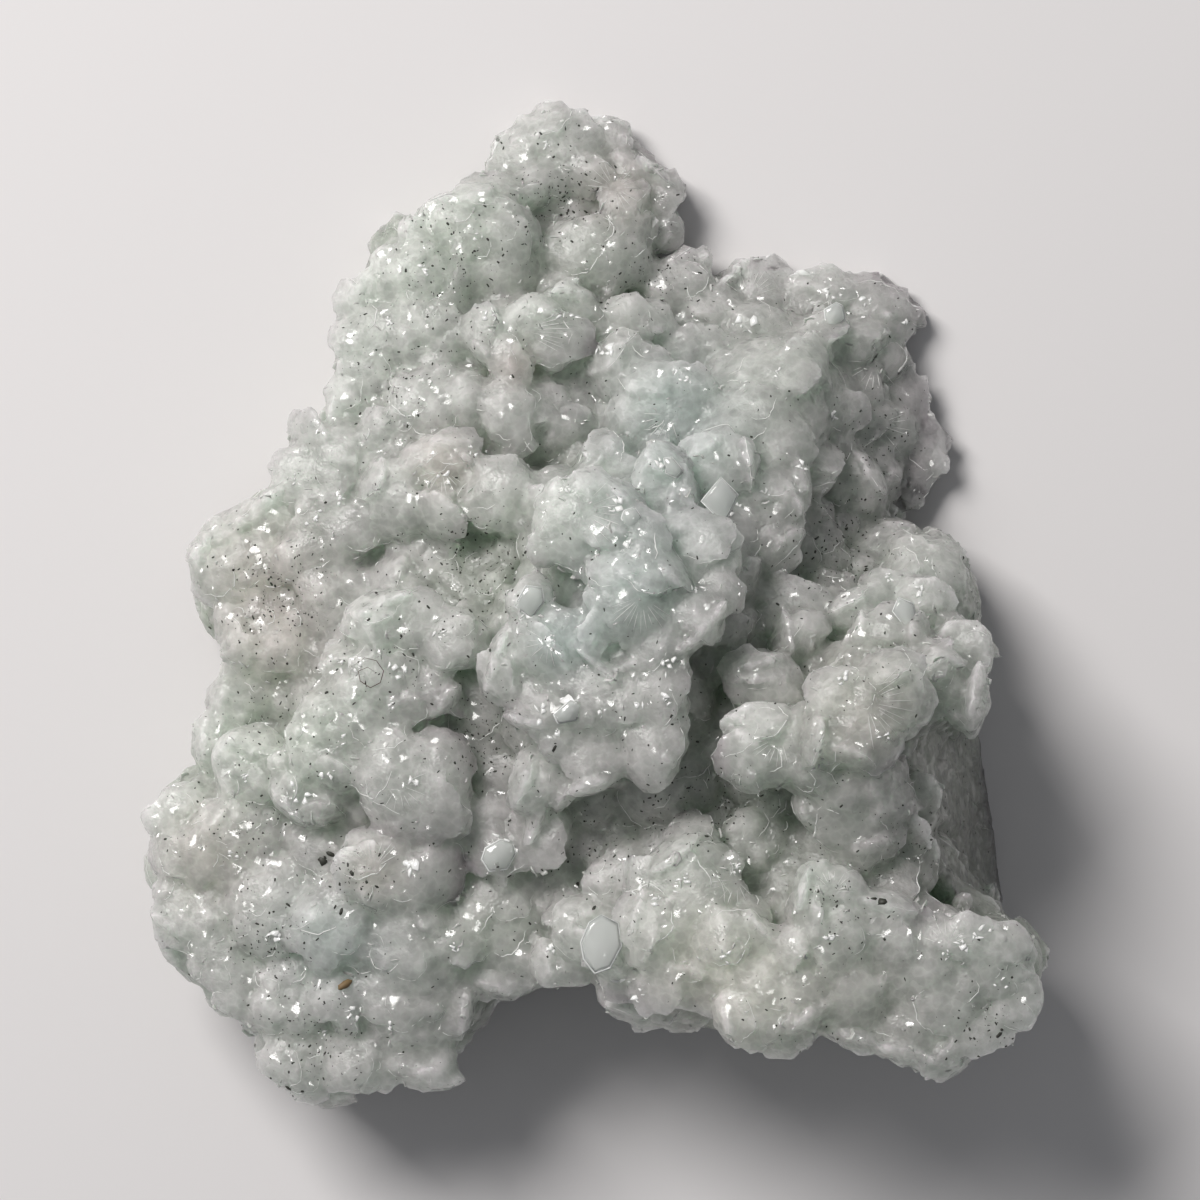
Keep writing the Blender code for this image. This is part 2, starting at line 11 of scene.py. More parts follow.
import bmesh
import bpy
import numpy as np
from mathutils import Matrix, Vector
from mathutils.bvhtree import BVHTree
from mathutils.kdtree import KDTree


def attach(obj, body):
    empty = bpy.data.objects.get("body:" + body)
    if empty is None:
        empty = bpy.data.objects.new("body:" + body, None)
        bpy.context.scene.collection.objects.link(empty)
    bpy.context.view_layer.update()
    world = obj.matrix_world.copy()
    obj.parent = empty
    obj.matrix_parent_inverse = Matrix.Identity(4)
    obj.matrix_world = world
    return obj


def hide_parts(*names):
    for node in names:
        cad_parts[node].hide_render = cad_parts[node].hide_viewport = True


MM = 0.001
TABLE_ORIGIN = np.array((0.0, -0.31, 0.0))

# Heights: the crust is a wedge, so the floor between its knobs sinks towards the back
FOOT_Z = 0.0
FLOOR_Z = 7.0
FLOOR_SLOPE = 0.16
FLOOR_OVER_EDGE = 1.8
MOUND_CENTRE_DROP = 3.0

# The plate's outline, anticlockwise from the back: widest edge x, y, z, then foot x, y under it
PLATE = (
    (-1.5, 34.6, 0.9, -1.5, 33.8), (-5.1, 31.9, 1.0, -4.9, 30.8), (-10.3, 27.7, 1.9, -9.4, 25.3),
    (-15.4, 22.0, 2.6, -13.4, 19.1), (-17.4, 14.3, 3.5, -13.7, 11.3), (-20.9, 8.7, 4.3, -15.7, 6.5),
    (-26.5, 3.6, 4.4, -20.0, 2.0), (-25.5, -2.0, 4.9, -21.0, -2.0), (-25.4, -7.6, 5.2, -22.5, -7.5),
    (-28.5, -12.2, 4.9, -24.0, -11.5), (-30.6, -16.3, 4.8, -25.5, -16.0), (-30.0, -21.4, 4.7, -24.5, -21.0),
    (-26.9, -27.5, 5.0, -21.5, -25.5), (-21.8, -33.3, 5.2, -18.5, -29.0), (-15.7, -34.3, 5.4, -14.5, -29.5),
    (-11.1, -31.9, 5.9, -12.0, -27.0), (-8.1, -27.8, 6.5, -11.0, -20.0), (-2.0, -25.8, 7.5, -4.0, -16.0),
    (3.0, -26.1, 8.2, 4.0, -16.0), (7.6, -27.8, 8.6, 10.0, -19.5), (10.6, -29.8, 8.8, 12.5, -26.0),
    (17.2, -29.3, 9.0, 17.0, -26.5), (24.7, -31.3, 9.1, 22.5, -27.0), (30.1, -28.3, 9.1, 26.5, -25.0),
    (27.6, -22.2, 12.5, 29.8, -21.5), (24.2, -16.2, 15.5, 29.1, -16.0), (23.9, -9.8, 15.5, 28.1, -9.0),
    (26.5, -3.1, 7.2, 25.5, -4.0), (23.6, 1.5, 4.4, 22.2, 0.7), (21.0, 7.2, 0.9, 20.5, 7.0),
    (21.2, 15.4, 0.9, 20.7, 15.0), (21.1, 21.1, 0.9, 20.6, 20.6), (14.2, 21.1, 0.9, 13.8, 20.6),
    (9.7, 22.1, 0.9, 9.5, 21.5), (2.9, 26.0, 0.9, 2.8, 25.3), (2.6, 30.8, 0.9, 2.5, 30.0),
)
FLOOR_INSET = 0.94

# Broad mounds under the knobs: x, y, top, half length, half width, turn
MOUNDS = (
    (-1.0, 30.4, 2.1, 5.0, 4.2, 90), (-0.5, 25.4, 4.7, 4.0, 4.0, 0), (-9.6, 22.2, 7.9, 7.0, 6.5, 60),
    (-11.5, 12.5, 10.7, 7.0, 6.5, 0), (-17.1, 8.0, 10.4, 5.5, 4.5, 40), (-21.6, 2.0, 9.8, 6.5, 5.5, 35),
    (-18.1, -1.0, 11.4, 6.0, 5.5, 0), (-14.4, -4.0, 15.6, 5.0, 4.8, 0), (-16.4, -10.9, 15.8, 6.0, 5.2, -20),
    (-23.0, -17.0, 11.8, 8.5, 7.5, 40), (-15.9, -21.9, 14.4, 8.0, 7.0, 90),
    (-17.4, -28.9, 12.0, 7.0, 5.8, 0), (-24.5, -24.0, 11.0, 6.0, 5.0, -50),
    (-7.0, -22.3, 13.1, 5.0, 5.0, 0), (-5.0, -15.4, 14.8, 5.0, 3.5, 0), (8.9, 8.4, 13.6, 13.5, 6.6, 58),
    (3.0, 15.6, 9.3, 4.0, 4.2, 0), (14.6, 18.7, 3.6, 8.5, 5.0, 15), (1.5, -5.4, 20.7, 6.5, 4.6, 70),
    (-1.5, -10.4, 18.3, 4.5, 3.6, 30), (7.4, -23.6, 20.7, 5.5, 4.6, 80), (11.8, -26.0, 21.7, 5.5, 4.2, 0),
    (17.3, -22.2, 21.7, 5.5, 3.6, 80), (22.2, -26.7, 20.3, 7.5, 4.5, 0), (27.7, -25.7, 20.5, 4.0, 3.8, 90),
    (18.4, -8.0, 21.7, 5.0, 4.2, 35), (12.9, -9.5, 19.8, 3.8, 3.6, 0), (17.6, -1.0, 14.3, 6.0, 3.4, -5),
    (23.6, 0.5, 12.1, 5.0, 3.6, -65), (25.4, -5.0, 16.6, 4.0, 2.6, 80), (21.4, 12.2, 2.2, 7.0, 3.4, 85),
    (18.2, 8.6, 5.5, 4.0, 3.0, 80),
)

# Knobs that meet the eye from above, by region: x, y, top, half length, half width, turn
KNOBS = {
    "summit": (
        (-2.3, 31.5, 3.8, 4.0, 3.9, 90), (0.9, 33.0, 2.5, 2.1, 2.0, 0), (1.8, 30.0, 3.7, 2.5, 2.4, 0),
        (4.0, 31.0, 2.5, 1.2, 1.1, 0), (5.2, 29.6, 3.5, 1.0, 0.9, 0), (5.0, 27.5, 3.2, 1.2, 1.1, 90),
        (3.5, 27.1, 2.8, 1.9, 1.7, 0), (7.2, 24.7, 2.9, 1.2, 1.0, 0), (6.1, 22.8, 4.0, 2.5, 2.1, 0),
        (0.0, 25.1, 6.5, 3.4, 2.7, 20),
    ),
    "upper_left": (
        (-8.0, 25.7, 8.3, 3.9, 3.7, 45), (-12.4, 26.5, 7.8, 1.3, 1.2, 0), (-6.9, 29.3, 5.3, 1.4, 1.2, 0),
        (-10.8, 27.5, 7.8, 1.8, 1.5, 30), (-12.0, 22.8, 9.6, 3.0, 2.7, 0), (-14.2, 23.7, 8.3, 2.0, 1.7, 40),
        (-16.2, 21.3, 8.1, 2.0, 1.8, 60), (-15.8, 17.5, 9.7, 2.9, 2.4, 90),
        (-16.6, 14.7, 9.4, 2.0, 1.9, 90), (-11.9, 19.3, 10.5, 3.1, 2.6, 0), (-7.0, 19.2, 11.5, 2.0, 1.9, 0),
        (-4.7, 20.3, 11.6, 2.4, 1.4, 15), (-2.6, 18.7, 11.2, 1.7, 1.6, 0), (-1.6, 21.1, 9.2, 1.9, 1.5, -45),
    ),
    "left_middle": (
        (-5.6, 16.9, 12.2, 1.5, 1.3, 0), (-5.7, 14.0, 12.5, 2.2, 1.8, 80), (-11.0, 13.6, 11.9, 4.2, 3.0, 5),
        (-14.3, 11.9, 12.1, 2.3, 1.9, 0), (-10.5, 9.9, 14.5, 2.4, 1.7, -5), (-6.9, 8.3, 14.8, 2.5, 2.1, 10),
        (-6.2, 7.2, 15.2, 2.7, 1.9, 15), (-13.4, 8.1, 14.2, 2.3, 2.2, 0), (-10.2, 6.9, 14.8, 1.3, 1.2, 90),
        (-5.3, 11.5, 11.6, 1.3, 1.2, 0), (-3.0, 13.2, 9.8, 2.3, 2.1, 90), (0.9, 10.4, 12.1, 1.0, 0.8, 0),
    ),
    "left_shoulder": (
        (-18.7, 11.7, 10.5, 1.6, 1.4, 60), (-17.4, 9.8, 11.6, 2.5, 2.1, 20),
        (-20.5, 8.7, 10.8, 2.0, 1.9, 0), (-19.4, 6.7, 12.0, 1.7, 1.4, 90), (-22.8, 6.5, 10.0, 1.6, 1.2, 15),
        (-24.6, 5.4, 9.8, 1.5, 1.3, 0), (-26.6, 4.0, 9.6, 1.8, 1.5, 60), (-26.8, 2.2, 9.5, 1.5, 1.4, 0),
        (-23.9, 2.2, 11.1, 3.4, 3.0, 0), (-19.6, 4.0, 12.0, 3.0, 1.8, 20), (-16.5, 5.6, 12.6, 2.2, 1.6, 10),
        (-25.2, -1.2, 10.5, 1.8, 1.6, 0), (-22.4, -2.5, 12.0, 3.9, 2.6, -20),
        (-18.4, 0.4, 12.3, 2.6, 2.2, 0), (-24.4, -6.2, 10.0, 2.7, 2.2, 80),
        (-26.2, -9.4, 9.3, 2.0, 1.7, 60),
    ),
    "left_knobs": (
        (-13.3, -1.6, 17.5, 3.5, 2.2, -5), (-9.5, -2.6, 17.5, 1.9, 1.6, 90),
        (-14.2, -5.5, 17.4, 3.3, 2.2, 0), (-11.0, -5.9, 17.2, 1.7, 1.3, 90),
        (-17.5, -4.3, 15.7, 1.4, 1.2, 0), (-17.3, -9.1, 17.3, 4.0, 3.3, 10),
        (-13.0, -12.0, 18.4, 3.9, 3.1, -50), (-11.3, -10.9, 17.3, 2.2, 1.8, 90),
        (-19.8, -12.3, 16.0, 2.8, 2.6, 0), (-23.8, -11.4, 13.5, 2.9, 2.5, 0),
    ),
    "lower_left": (
        (-29.4, -14.7, 10.9, 2.4, 1.5, 25), (-28.4, -17.4, 11.8, 2.6, 2.2, 90),
        (-29.1, -21.1, 11.1, 2.2, 1.7, 90), (-24.9, -16.6, 13.3, 3.9, 3.3, 30),
        (-26.1, -23.5, 12.3, 3.4, 3.1, 90), (-21.9, -21.5, 14.0, 3.2, 3.0, 0),
        (-17.7, -22.6, 15.5, 3.3, 3.0, 0), (-15.1, -18.6, 17.7, 2.8, 2.3, -50),
        (-12.1, -18.6, 16.9, 2.0, 1.8, 60), (-12.7, -23.3, 16.2, 3.4, 3.1, 90),
        (-13.1, -27.5, 14.9, 3.3, 3.1, 90), (-17.4, -27.3, 14.3, 2.3, 2.0, 0),
        (-21.0, -27.4, 13.5, 2.9, 2.4, 20), (-24.4, -27.3, 12.1, 2.9, 2.0, -45),
        (-20.1, -31.6, 12.3, 3.0, 2.6, -20), (-16.1, -31.6, 13.1, 3.3, 2.9, 0),
        (-12.1, -31.6, 13.2, 2.6, 2.0, -35), (-10.3, -27.5, 13.9, 2.7, 1.7, 100),
    ),
    "front_hollow": (
        (-6.9, -22.4, 14.7, 3.6, 3.4, 0), (-9.2, -23.1, 15.3, 1.2, 0.8, 110),
        (-7.6, -15.5, 15.2, 2.6, 2.0, 0), (-6.2, -17.3, 16.2, 1.7, 1.4, 20),
        (-3.2, -15.9, 16.6, 1.8, 1.4, 90), (-0.3, -22.6, 17.8, 2.5, 1.8, -5),
        (-1.6, -25.2, 15.7, 2.3, 1.5, 0), (-6.0, -25.8, 13.8, 2.4, 1.5, 10),
        (3.0, -26.8, 16.0, 2.8, 1.8, -10), (6.3, -27.0, 16.8, 2.0, 1.5, 0),
        (5.8, -12.2, 16.7, 2.5, 2.1, 30), (11.5, -16.7, 17.9, 2.4, 2.0, 0), (2.2, -19.5, 16.3, 2.8, 2.2, 0),
    ),
    "ridge_top": (
        (2.2, 19.9, 8.6, 2.4, 1.9, 0), (2.9, 17.3, 10.4, 2.6, 1.5, 0), (4.6, 20.1, 7.0, 1.6, 1.1, 90),
        (5.3, 14.0, 12.1, 3.1, 2.8, 0), (11.0, 21.9, 2.5, 2.7, 2.2, 10), (8.7, 20.7, 4.2, 1.9, 1.6, 0),
        (11.3, 19.9, 4.2, 1.8, 1.5, 60), (7.4, 18.2, 7.0, 2.2, 1.5, 10), (9.6, 17.5, 7.0, 2.0, 1.8, 0),
        (13.1, 18.0, 5.7, 2.6, 2.0, 10), (16.0, 22.0, 3.0, 2.1, 2.0, 0), (18.7, 20.7, 2.6, 3.2, 2.5, -10),
        (21.5, 20.7, 2.3, 2.0, 1.5, 100), (17.5, 18.1, 5.0, 2.8, 1.4, 15), (19.9, 17.9, 3.1, 2.3, 1.9, 10),
        (9.6, 14.3, 10.3, 1.5, 1.4, 0), (11.7, 14.3, 9.8, 1.9, 1.7, 0), (14.1, 14.8, 8.7, 2.6, 2.0, 10),
        (17.0, 13.3, 8.3, 2.6, 1.9, 80), (21.3, 13.0, 2.9, 2.9, 1.4, 90), (20.6, 9.1, 3.9, 1.9, 1.3, 60),
        (18.6, 8.4, 7.1, 2.2, 1.9, 80),
    ),
    "ridge_middle": (
        (4.9, 8.2, 18.5, 2.5, 1.9, 100), (8.7, 9.8, 15.4, 2.3, 1.8, 0), (12.3, 10.3, 13.3, 2.8, 2.5, 0),
        (15.5, 9.5, 10.2, 1.9, 1.4, 30), (11.9, 6.3, 14.4, 2.9, 2.5, 60), (13.0, 4.5, 14.0, 1.5, 1.1, 50),
        (-1.0, 5.8, 22.3, 3.1, 3.1, 0), (1.1, 7.0, 21.3, 1.6, 1.4, 20), (2.4, 4.2, 22.7, 2.7, 2.1, -20),
        (7.3, 3.0, 20.7, 3.1, 2.9, 60), (2.7, 1.2, 23.9, 3.2, 2.9, 20), (8.3, 0.4, 21.7, 1.9, 1.2, 25),
        (6.2, -1.4, 22.9, 2.2, 1.6, 30),
    ),
    "ridge_end": (
        (-4.2, 0.2, 21.4, 1.5, 1.3, 0), (-2.2, -2.3, 22.1, 2.6, 2.0, 0), (0.2, -2.1, 22.5, 1.0, 0.9, 90),
        (-5.1, -4.5, 20.9, 2.1, 2.0, 90), (-1.0, -4.9, 21.9, 2.3, 1.7, 0), (-2.6, -7.1, 21.5, 2.3, 1.2, 10),
        (1.5, -6.2, 22.7, 2.8, 2.1, 0), (4.6, -3.7, 22.9, 2.0, 1.8, 90), (4.9, -6.5, 23.1, 1.9, 1.6, 90),
        (4.7, -9.4, 23.0, 2.5, 1.8, 80), (-1.9, -9.1, 21.4, 1.9, 1.3, 10), (0.4, -10.6, 21.4, 2.5, 1.9, 20),
        (-3.3, -12.4, 19.0, 2.2, 1.7, 30),
    ),
    "right_side": (
        (22.0, 4.6, 4.8, 1.4, 1.2, 100), (22.9, 2.7, 8.2, 1.8, 1.5, 110), (21.3, 0.9, 14.5, 2.2, 1.6, 10),
        (23.3, 0.4, 15.2, 1.6, 1.4, 0), (15.0, -0.2, 14.9, 2.7, 1.8, -15), (18.5, -0.4, 15.7, 1.8, 1.2, 20),
        (14.8, -1.9, 16.4, 1.4, 1.1, 20), (20.8, -2.1, 17.8, 2.4, 1.5, 0),
        (26.2, -3.0, 16.9, 1.9, 1.6, 110), (24.1, -5.0, 19.4, 1.8, 1.4, 100),
        (25.9, -6.8, 18.3, 1.6, 1.2, 90), (12.2, -5.5, 18.3, 2.4, 1.7, 0), (12.5, -9.7, 23.8, 3.0, 2.8, 0),
        (15.0, -11.0, 24.2, 1.7, 1.4, -30), (17.9, -7.8, 26.0, 3.3, 2.9, 35),
        (20.6, -6.3, 25.0, 2.7, 2.1, 75), (18.1, -11.9, 23.4, 2.6, 2.0, 0),
        (18.0, -13.2, 22.3, 3.8, 3.0, 0), (18.9, -15.8, 20.8, 2.1, 1.7, 10),
    ),
    "front_left_lobes": (
        (7.0, -18.3, 21.7, 3.1, 1.7, 10), (4.0, -18.8, 20.6, 1.4, 1.2, 0), (9.8, -18.0, 21.6, 0.9, 0.8, 90),
        (7.8, -20.2, 22.1, 2.2, 1.6, 0), (7.1, -16.6, 18.8, 1.5, 1.1, 20), (5.8, -22.8, 22.6, 3.3, 2.6, 10),
        (3.1, -23.6, 20.6, 1.4, 1.2, 0), (2.3, -25.1, 20.1, 1.9, 1.0, -20),
        (6.3, -25.5, 21.9, 3.1, 1.8, -15), (9.9, -23.9, 23.7, 3.1, 2.5, 0),
        (12.1, -26.7, 23.8, 3.5, 3.1, -10), (12.1, -29.0, 21.6, 2.9, 1.5, 0),
        (10.4, -21.6, 21.3, 1.8, 1.4, 0), (14.1, -23.5, 23.8, 1.1, 1.0, 0),
    ),
    "front_right_lobes": (
        (16.3, -19.4, 24.4, 2.1, 1.6, -15), (16.8, -22.1, 24.4, 2.5, 2.3, 90),
        (17.4, -25.5, 23.0, 2.9, 2.6, 90), (20.4, -22.3, 23.1, 2.2, 1.4, 110),
        (21.2, -25.1, 22.5, 2.5, 2.2, 0), (18.6, -28.3, 21.4, 2.5, 1.9, 0),
        (23.5, -24.0, 22.9, 2.0, 1.7, 80), (22.4, -28.9, 21.6, 3.0, 2.3, 10),
        (24.3, -30.2, 20.4, 2.2, 1.7, 25), (25.5, -23.0, 23.4, 1.6, 1.3, 40),
        (27.4, -24.7, 23.1, 2.6, 2.5, 0), (29.6, -24.1, 21.2, 1.4, 1.1, -40),
        (29.2, -27.1, 21.8, 2.2, 2.0, 90), (27.0, -29.0, 21.1, 1.9, 1.7, 0),
        (24.5, -27.1, 22.3, 2.1, 1.8, 0),
    ),
}

# Hollows between the knobs: x, y, height of their floor
HOLLOWS = (
    (-8.0, 4.0, 14.0), (-10.5, 2.0, 14.1), (-6.0, 1.5, 15.3), (-5.5, -1.5, 15.9), (-7.5, -7.5, 15.4),
    (-8.0, -11.9, 15.2), (-8.4, -18.9, 14.5), (-4.0, -19.3, 15.0), (0.0, -17.4, 15.9), (3.0, -14.7, 16.7),
    (2.0, -20.8, 17.1), (1.5, 23.3, 5.7), (-2.5, 22.8, 7.2), (4.6, 22.8, 4.4), (-1.0, 15.6, 9.0),
    (-1.5, 12.1, 11.1), (14.6, 2.5, 12.0), (17.1, 4.0, 10.0), (20.7, 4.5, 6.9), (8.7, -4.5, 17.2),
    (9.0, -8.0, 17.8), (8.0, -13.0, 17.5), (10.5, -13.5, 18.1), (13.9, -14.4, 19.1), (13.4, -17.4, 19.0),
    (16.0, -5.0, 18.2), (22.4, -11.5, 20.3), (23.5, -8.5, 19.3), (22.4, -15.9, 20.1), (21.3, -19.4, 20.3),
    (-20.4, -7.0, 13.1), (-24.0, -9.0, 11.4), (-22.9, -23.9, 12.6), (-17.9, -15.9, 14.9),
)

# Bed of small knobs that fills the space between the named ones
BED_SEED = 3
BED_STEP = 1.5
BED_REACH = 3.2
BED_DROP = 2.6
BED_RADIUS = (0.9, 1.7)
BED_UNEVEN = (-0.4, 0.5)
BED_ROOT_DROP = 2.0
BED_EDGE_SHARE = 0.97
HOLLOW_DROP = 1.2
HOLLOW_WEIGHT = 2

# Small knobs that cover the crust's flanks, in rows round the plate
FLANK_SEED = 7
FLANK_ROWS = ((-2.2, 0.86), (-0.8, 0.92), (0.6, 0.955), (2.8, 0.94))
FLANK_STEP = 1.9
FLANK_RADIUS = (0.9, 1.8)
FLANK_LEAN = (30, 75)
FLANK_UNEVEN = 0.9
BARE_WALL = ((22.8, -21.6), (40.0, -8.2))

# Shells: how a knob's dome, rim and underside are drawn
SHELL_SEED = 11
DEPTH_SHARE = 0.52
ROOT = 3.7
KNOB_RELIEF = 0.66
PINCH = 0.30
DOME_POWER = (0.6, 1.0)
LOBE_COUNTS = ((3, 5), (6, 9), (11, 16))
LOBE_HEIGHTS = (0.06, 0.045, 0.028)
TILT = 9.0
PETAL_LEAST_RADIUS = 1.25
PETAL_SHARE = (0.28, 0.56)
PETAL_REACH = (0.42, 0.84)
PETAL_TILT = (12.0, 34.0)
PETALS_PER_MM = 2.4

# Scales: thin lens-shaped crystals that overlap all over the crust, each with one edge lifted
SCALE_SEED = 41
SCALE_STEP = 1.35
SCALE_KEPT = 0.72
FINE_SHRINK = 0.42
FINE_AREAS = (
    (-11.0, 22.0, 8.0), (-14.0, 14.0, 6.0), (-24.0, 1.0, 7.0), (-1.0, 29.0, 5.0), (-22.0, -9.0, 6.0),
    (-27.0, -16.0, 6.0), (-22.0, -28.0, 8.0), (-14.0, -31.0, 5.0), (4.0, 23.0, 5.0), (18.0, 3.0, 5.0),
    (-8.0, 3.0, 5.0), (12.0, -15.0, 6.0), (28.0, -27.0, 5.0),
)
SCALE_RADIUS = (0.8, 2.6)
SCALE_THICKNESS = (0.32, 0.50)
SCALE_LIFT = (0.06, 0.24)
SCALE_SINK = 0.10
OUTWARD_SIDE = np.array((0.55, -0.45, -0.9))
OUTWARD_SPREAD = 0.55

# Thin bright tubes along the scales' lifted edges: a painted highlight for light that shines through the
# thin edges
RIM_SPAN = (110.0, 230.0)
RIM_STEP = 0.34
RIM_KEPT = 0.55
RIM_WIDTH = (0.02, 0.055)
RIM_SEED = 5

# Fineness of the crust
ROUGH_STEP = 0.34
REMESH_STEP = 0.25
CLOSING = 0.36
CRUST_TRIANGLES = 190000
FACET_SEED = 23

# Flat faces cut into the crust, each a step between them, a tilt, a limit and a share of the way
SMALL_FACES = (0.95, 0.42, 0.35, 0.62)
BROKEN_FACES = ((3.0, 0.34, 0.8, 0.9), (1.5, 0.4, 0.5, 0.8))
BROKEN_HEIGHT = 5.5


class Solids:
    """Closed surfaces that are gathered as arrays and then made into one mesh."""

    def __init__(self):
        self.points = []
        self.faces = []
        self.rims = []
        self.count = 0
        self.spheres = {}

    def sphere(self, detail):
        """A unit icosphere's points and triangles, made once for each detail."""
        if detail not in self.spheres:
            self.spheres[detail] = icosphere(detail)
        return self.spheres[detail]

    def add(self, points, faces):
        self.points.append(points)
        self.faces.append(faces + self.count)
        self.count += len(points)

    def mesh(self, name):
        points = (np.concatenate(self.points) + TABLE_ORIGIN) * MM
        return triangle_mesh(name, points, np.concatenate(self.faces))


def icosphere(detail):
    """Points and triangles of a unit icosphere."""
    t = (1.0 + math.sqrt(5.0)) / 2.0
    points = [
        (-1, t, 0), (1, t, 0), (-1, -t, 0), (1, -t, 0), (0, -1, t), (0, 1, t),
        (0, -1, -t), (0, 1, -t), (t, 0, -1), (t, 0, 1), (-t, 0, -1), (-t, 0, 1),
    ]
    points = [np.array(point) / math.sqrt(1 + t * t) for point in points]
    faces = [
        (0, 11, 5), (0, 5, 1), (0, 1, 7), (0, 7, 10), (0, 10, 11),
        (1, 5, 9), (5, 11, 4), (11, 10, 2), (10, 7, 6), (7, 1, 8),
        (3, 9, 4), (3, 4, 2), (3, 2, 6), (3, 6, 8), (3, 8, 9),
        (4, 9, 5), (2, 4, 11), (6, 2, 10), (8, 6, 7), (9, 8, 1),
    ]
    for _ in range(detail - 1):
        middles = {}
        finer = []
        for face in faces:
            mids = []
            for a, b in zip(face, face[1:] + face[:1]):
                key = (min(a, b), max(a, b))
                if key not in middles:
                    middle = points[a] + points[b]
                    middles[key] = len(points)
                    points.append(middle / np.linalg.norm(middle))
                mids.append(middles[key])
            a, b, c = face
            ab, bc, ca = mids
            finer += [(a, ab, ca), (b, bc, ab), (c, ca, bc), (ab, bc, ca)]
        faces = finer
    return np.array(points), np.array(faces)


def triangle_mesh(name, points, faces):
    """A mesh of triangles from arrays of points and point numbers."""
    mesh = bpy.data.meshes.new(name)
    mesh.vertices.add(len(points))
    mesh.vertices.foreach_set("co", points.astype(np.float32).ravel())
    mesh.loops.add(faces.size)
    mesh.loops.foreach_set("vertex_index", faces.astype(np.int32).ravel())
    mesh.polygons.add(len(faces))
    mesh.polygons.foreach_set("loop_start", np.arange(0, faces.size, 3, dtype=np.int32))
    mesh.update(calc_edges=True)
    mesh.validate()
    return mesh


def turn_matrix(turn, lean=0.0, towards=0.0):
    """Turns about +Z, then leans the result over by an angle towards a direction, all in degrees."""
    turn, lean, towards = map(math.radians, (turn, lean, towards))
    spin = np.array((
        (math.cos(turn), -math.sin(turn), 0.0),
        (math.sin(turn), math.cos(turn), 0.0),
        (0.0, 0.0, 1.0),
    ))
    axis = np.array((-math.sin(towards), math.cos(towards), 0.0))
    cross = np.array(((0, -axis[2], axis[1]), (axis[2], 0, -axis[0]), (-axis[1], axis[0], 0)))
    bend = np.eye(3) + math.sin(lean) * cross + (1 - math.cos(lean)) * cross @ cross
    return bend @ spin


def random_lobes(rng):
    """How a rim is scalloped: count, phase and height of each of its waves."""
    return [
        (rng.randint(low, high), rng.uniform(0, math.tau), height)
        for (low, high), height in zip(LOBE_COUNTS, LOBE_HEIGHTS)
    ]


def shell_points(unit, radii, root, power, pinch, lobes):
    """A knob with a domed top, a scalloped rim and an underside that narrows to its root."""
    angle = np.arctan2(unit[:, 1], unit[:, 0])
    across = np.hypot(unit[:, 0], unit[:, 1])
    scallop = np.ones(len(unit))
    for count, phase, height in lobes:
        scallop += height * across ** 2 * np.cos(count * angle + phase)
    below = np.clip(-unit[:, 2], 0, 1)
    narrow = 1.0 - pinch * below ** 0.6
    height = np.where(unit[:, 2] > 0, np.abs(unit[:, 2]) ** power, root * unit[:, 2])
    return np.stack((
        unit[:, 0] * radii[0] * scallop * narrow,
        unit[:, 1] * radii[1] * scallop * narrow,
        height * radii[2],
    ), axis=1)


def add_shell(solids, centre, radii, turn, rng, detail=3, root=1.0, lean=0.0, towards=0.0, power=1.2,
              pinch=PINCH):
    unit, faces = solids.sphere(detail)
    lobes = random_lobes(rng)
    bend = turn_matrix(turn, lean, towards).T
    points = shell_points(unit, radii, root, power, pinch, lobes)
    solids.add(points @ bend + np.array(centre), faces)


def floor_level(y):
    return FLOOR_Z - FLOOR_SLOPE * y


def add_mounds(solids, rng):
    for x, y, top, along, across, turn in MOUNDS:
        centre_z = floor_level(y) - MOUND_CENTRE_DROP
        radii = (along, across, top - centre_z)
        add_shell(solids, (x, y, centre_z), radii, turn, rng, 5, 0.35, power=1.0, pinch=0.0)


def add_knobs(solids, rng):
    """Each named knob, with smaller shells that overlap round its shoulders."""
    for region in KNOBS.values():
        levels = crown_height(np.array([(x, y) for x, y, _, _, _, _ in region]))
        for (x, y, top, along, across, turn), level in zip(region, levels):
            top = level + KNOB_RELIEF * (top - level)
            radius = (along + across) / 2
            deep = DEPTH_SHARE * radius
            lean = rng.uniform(0, TILT)
            towards = rng.uniform(0, 360)
            power = rng.uniform(*DOME_POWER)
            centre = np.array((x, y, top - deep))
            add_shell(solids, centre, (along, across, deep), turn, rng, 4, ROOT, lean, towards, power)
            if radius > PETAL_LEAST_RADIUS:
                add_petals(solids, centre, (along, across, deep), turn, rng)


def add_petals(solids, centre, radii, turn, rng):
    """Smaller shells on a knob's shoulders, each leaning outwards."""
    radius = (radii[0] + radii[1]) / 2
    count = round(radius * PETALS_PER_MM)
    start = rng.uniform(0, 360)
    spin = turn_matrix(turn)
    for i in range(count):
        angle = start + 360 * (i + rng.uniform(-0.3, 0.3)) / count
        reach = rng.uniform(*PETAL_REACH)
        size = radius * rng.uniform(*PETAL_SHARE)
        local = np.array((
            radii[0] * reach * math.cos(math.radians(angle)),
            radii[1] * reach * math.sin(math.radians(angle)),
            radii[2] * math.sqrt(1 - reach * reach) - 0.42 * size,
        ))
        lean = rng.uniform(*PETAL_TILT) * reach * 1.4
        place = centre + spin @ local
        flat = (size, size * rng.uniform(0.75, 1.0), size * 0.55)
        add_shell(solids, place, flat, rng.uniform(0, 360), rng, 3, 1.6, lean, angle + turn, 1.5)


def inside(loop, x, y):
    """True where a point lies inside a closed loop of x, y pairs."""
    odd = False
    for (x1, y1), (x2, y2) in zip(loop, loop[1:] + loop[:1]):
        if (y1 > y) != (y2 > y) and x < x1 + (y - y1) / (y2 - y1) * (x2 - x1):
            odd = not odd
    return odd


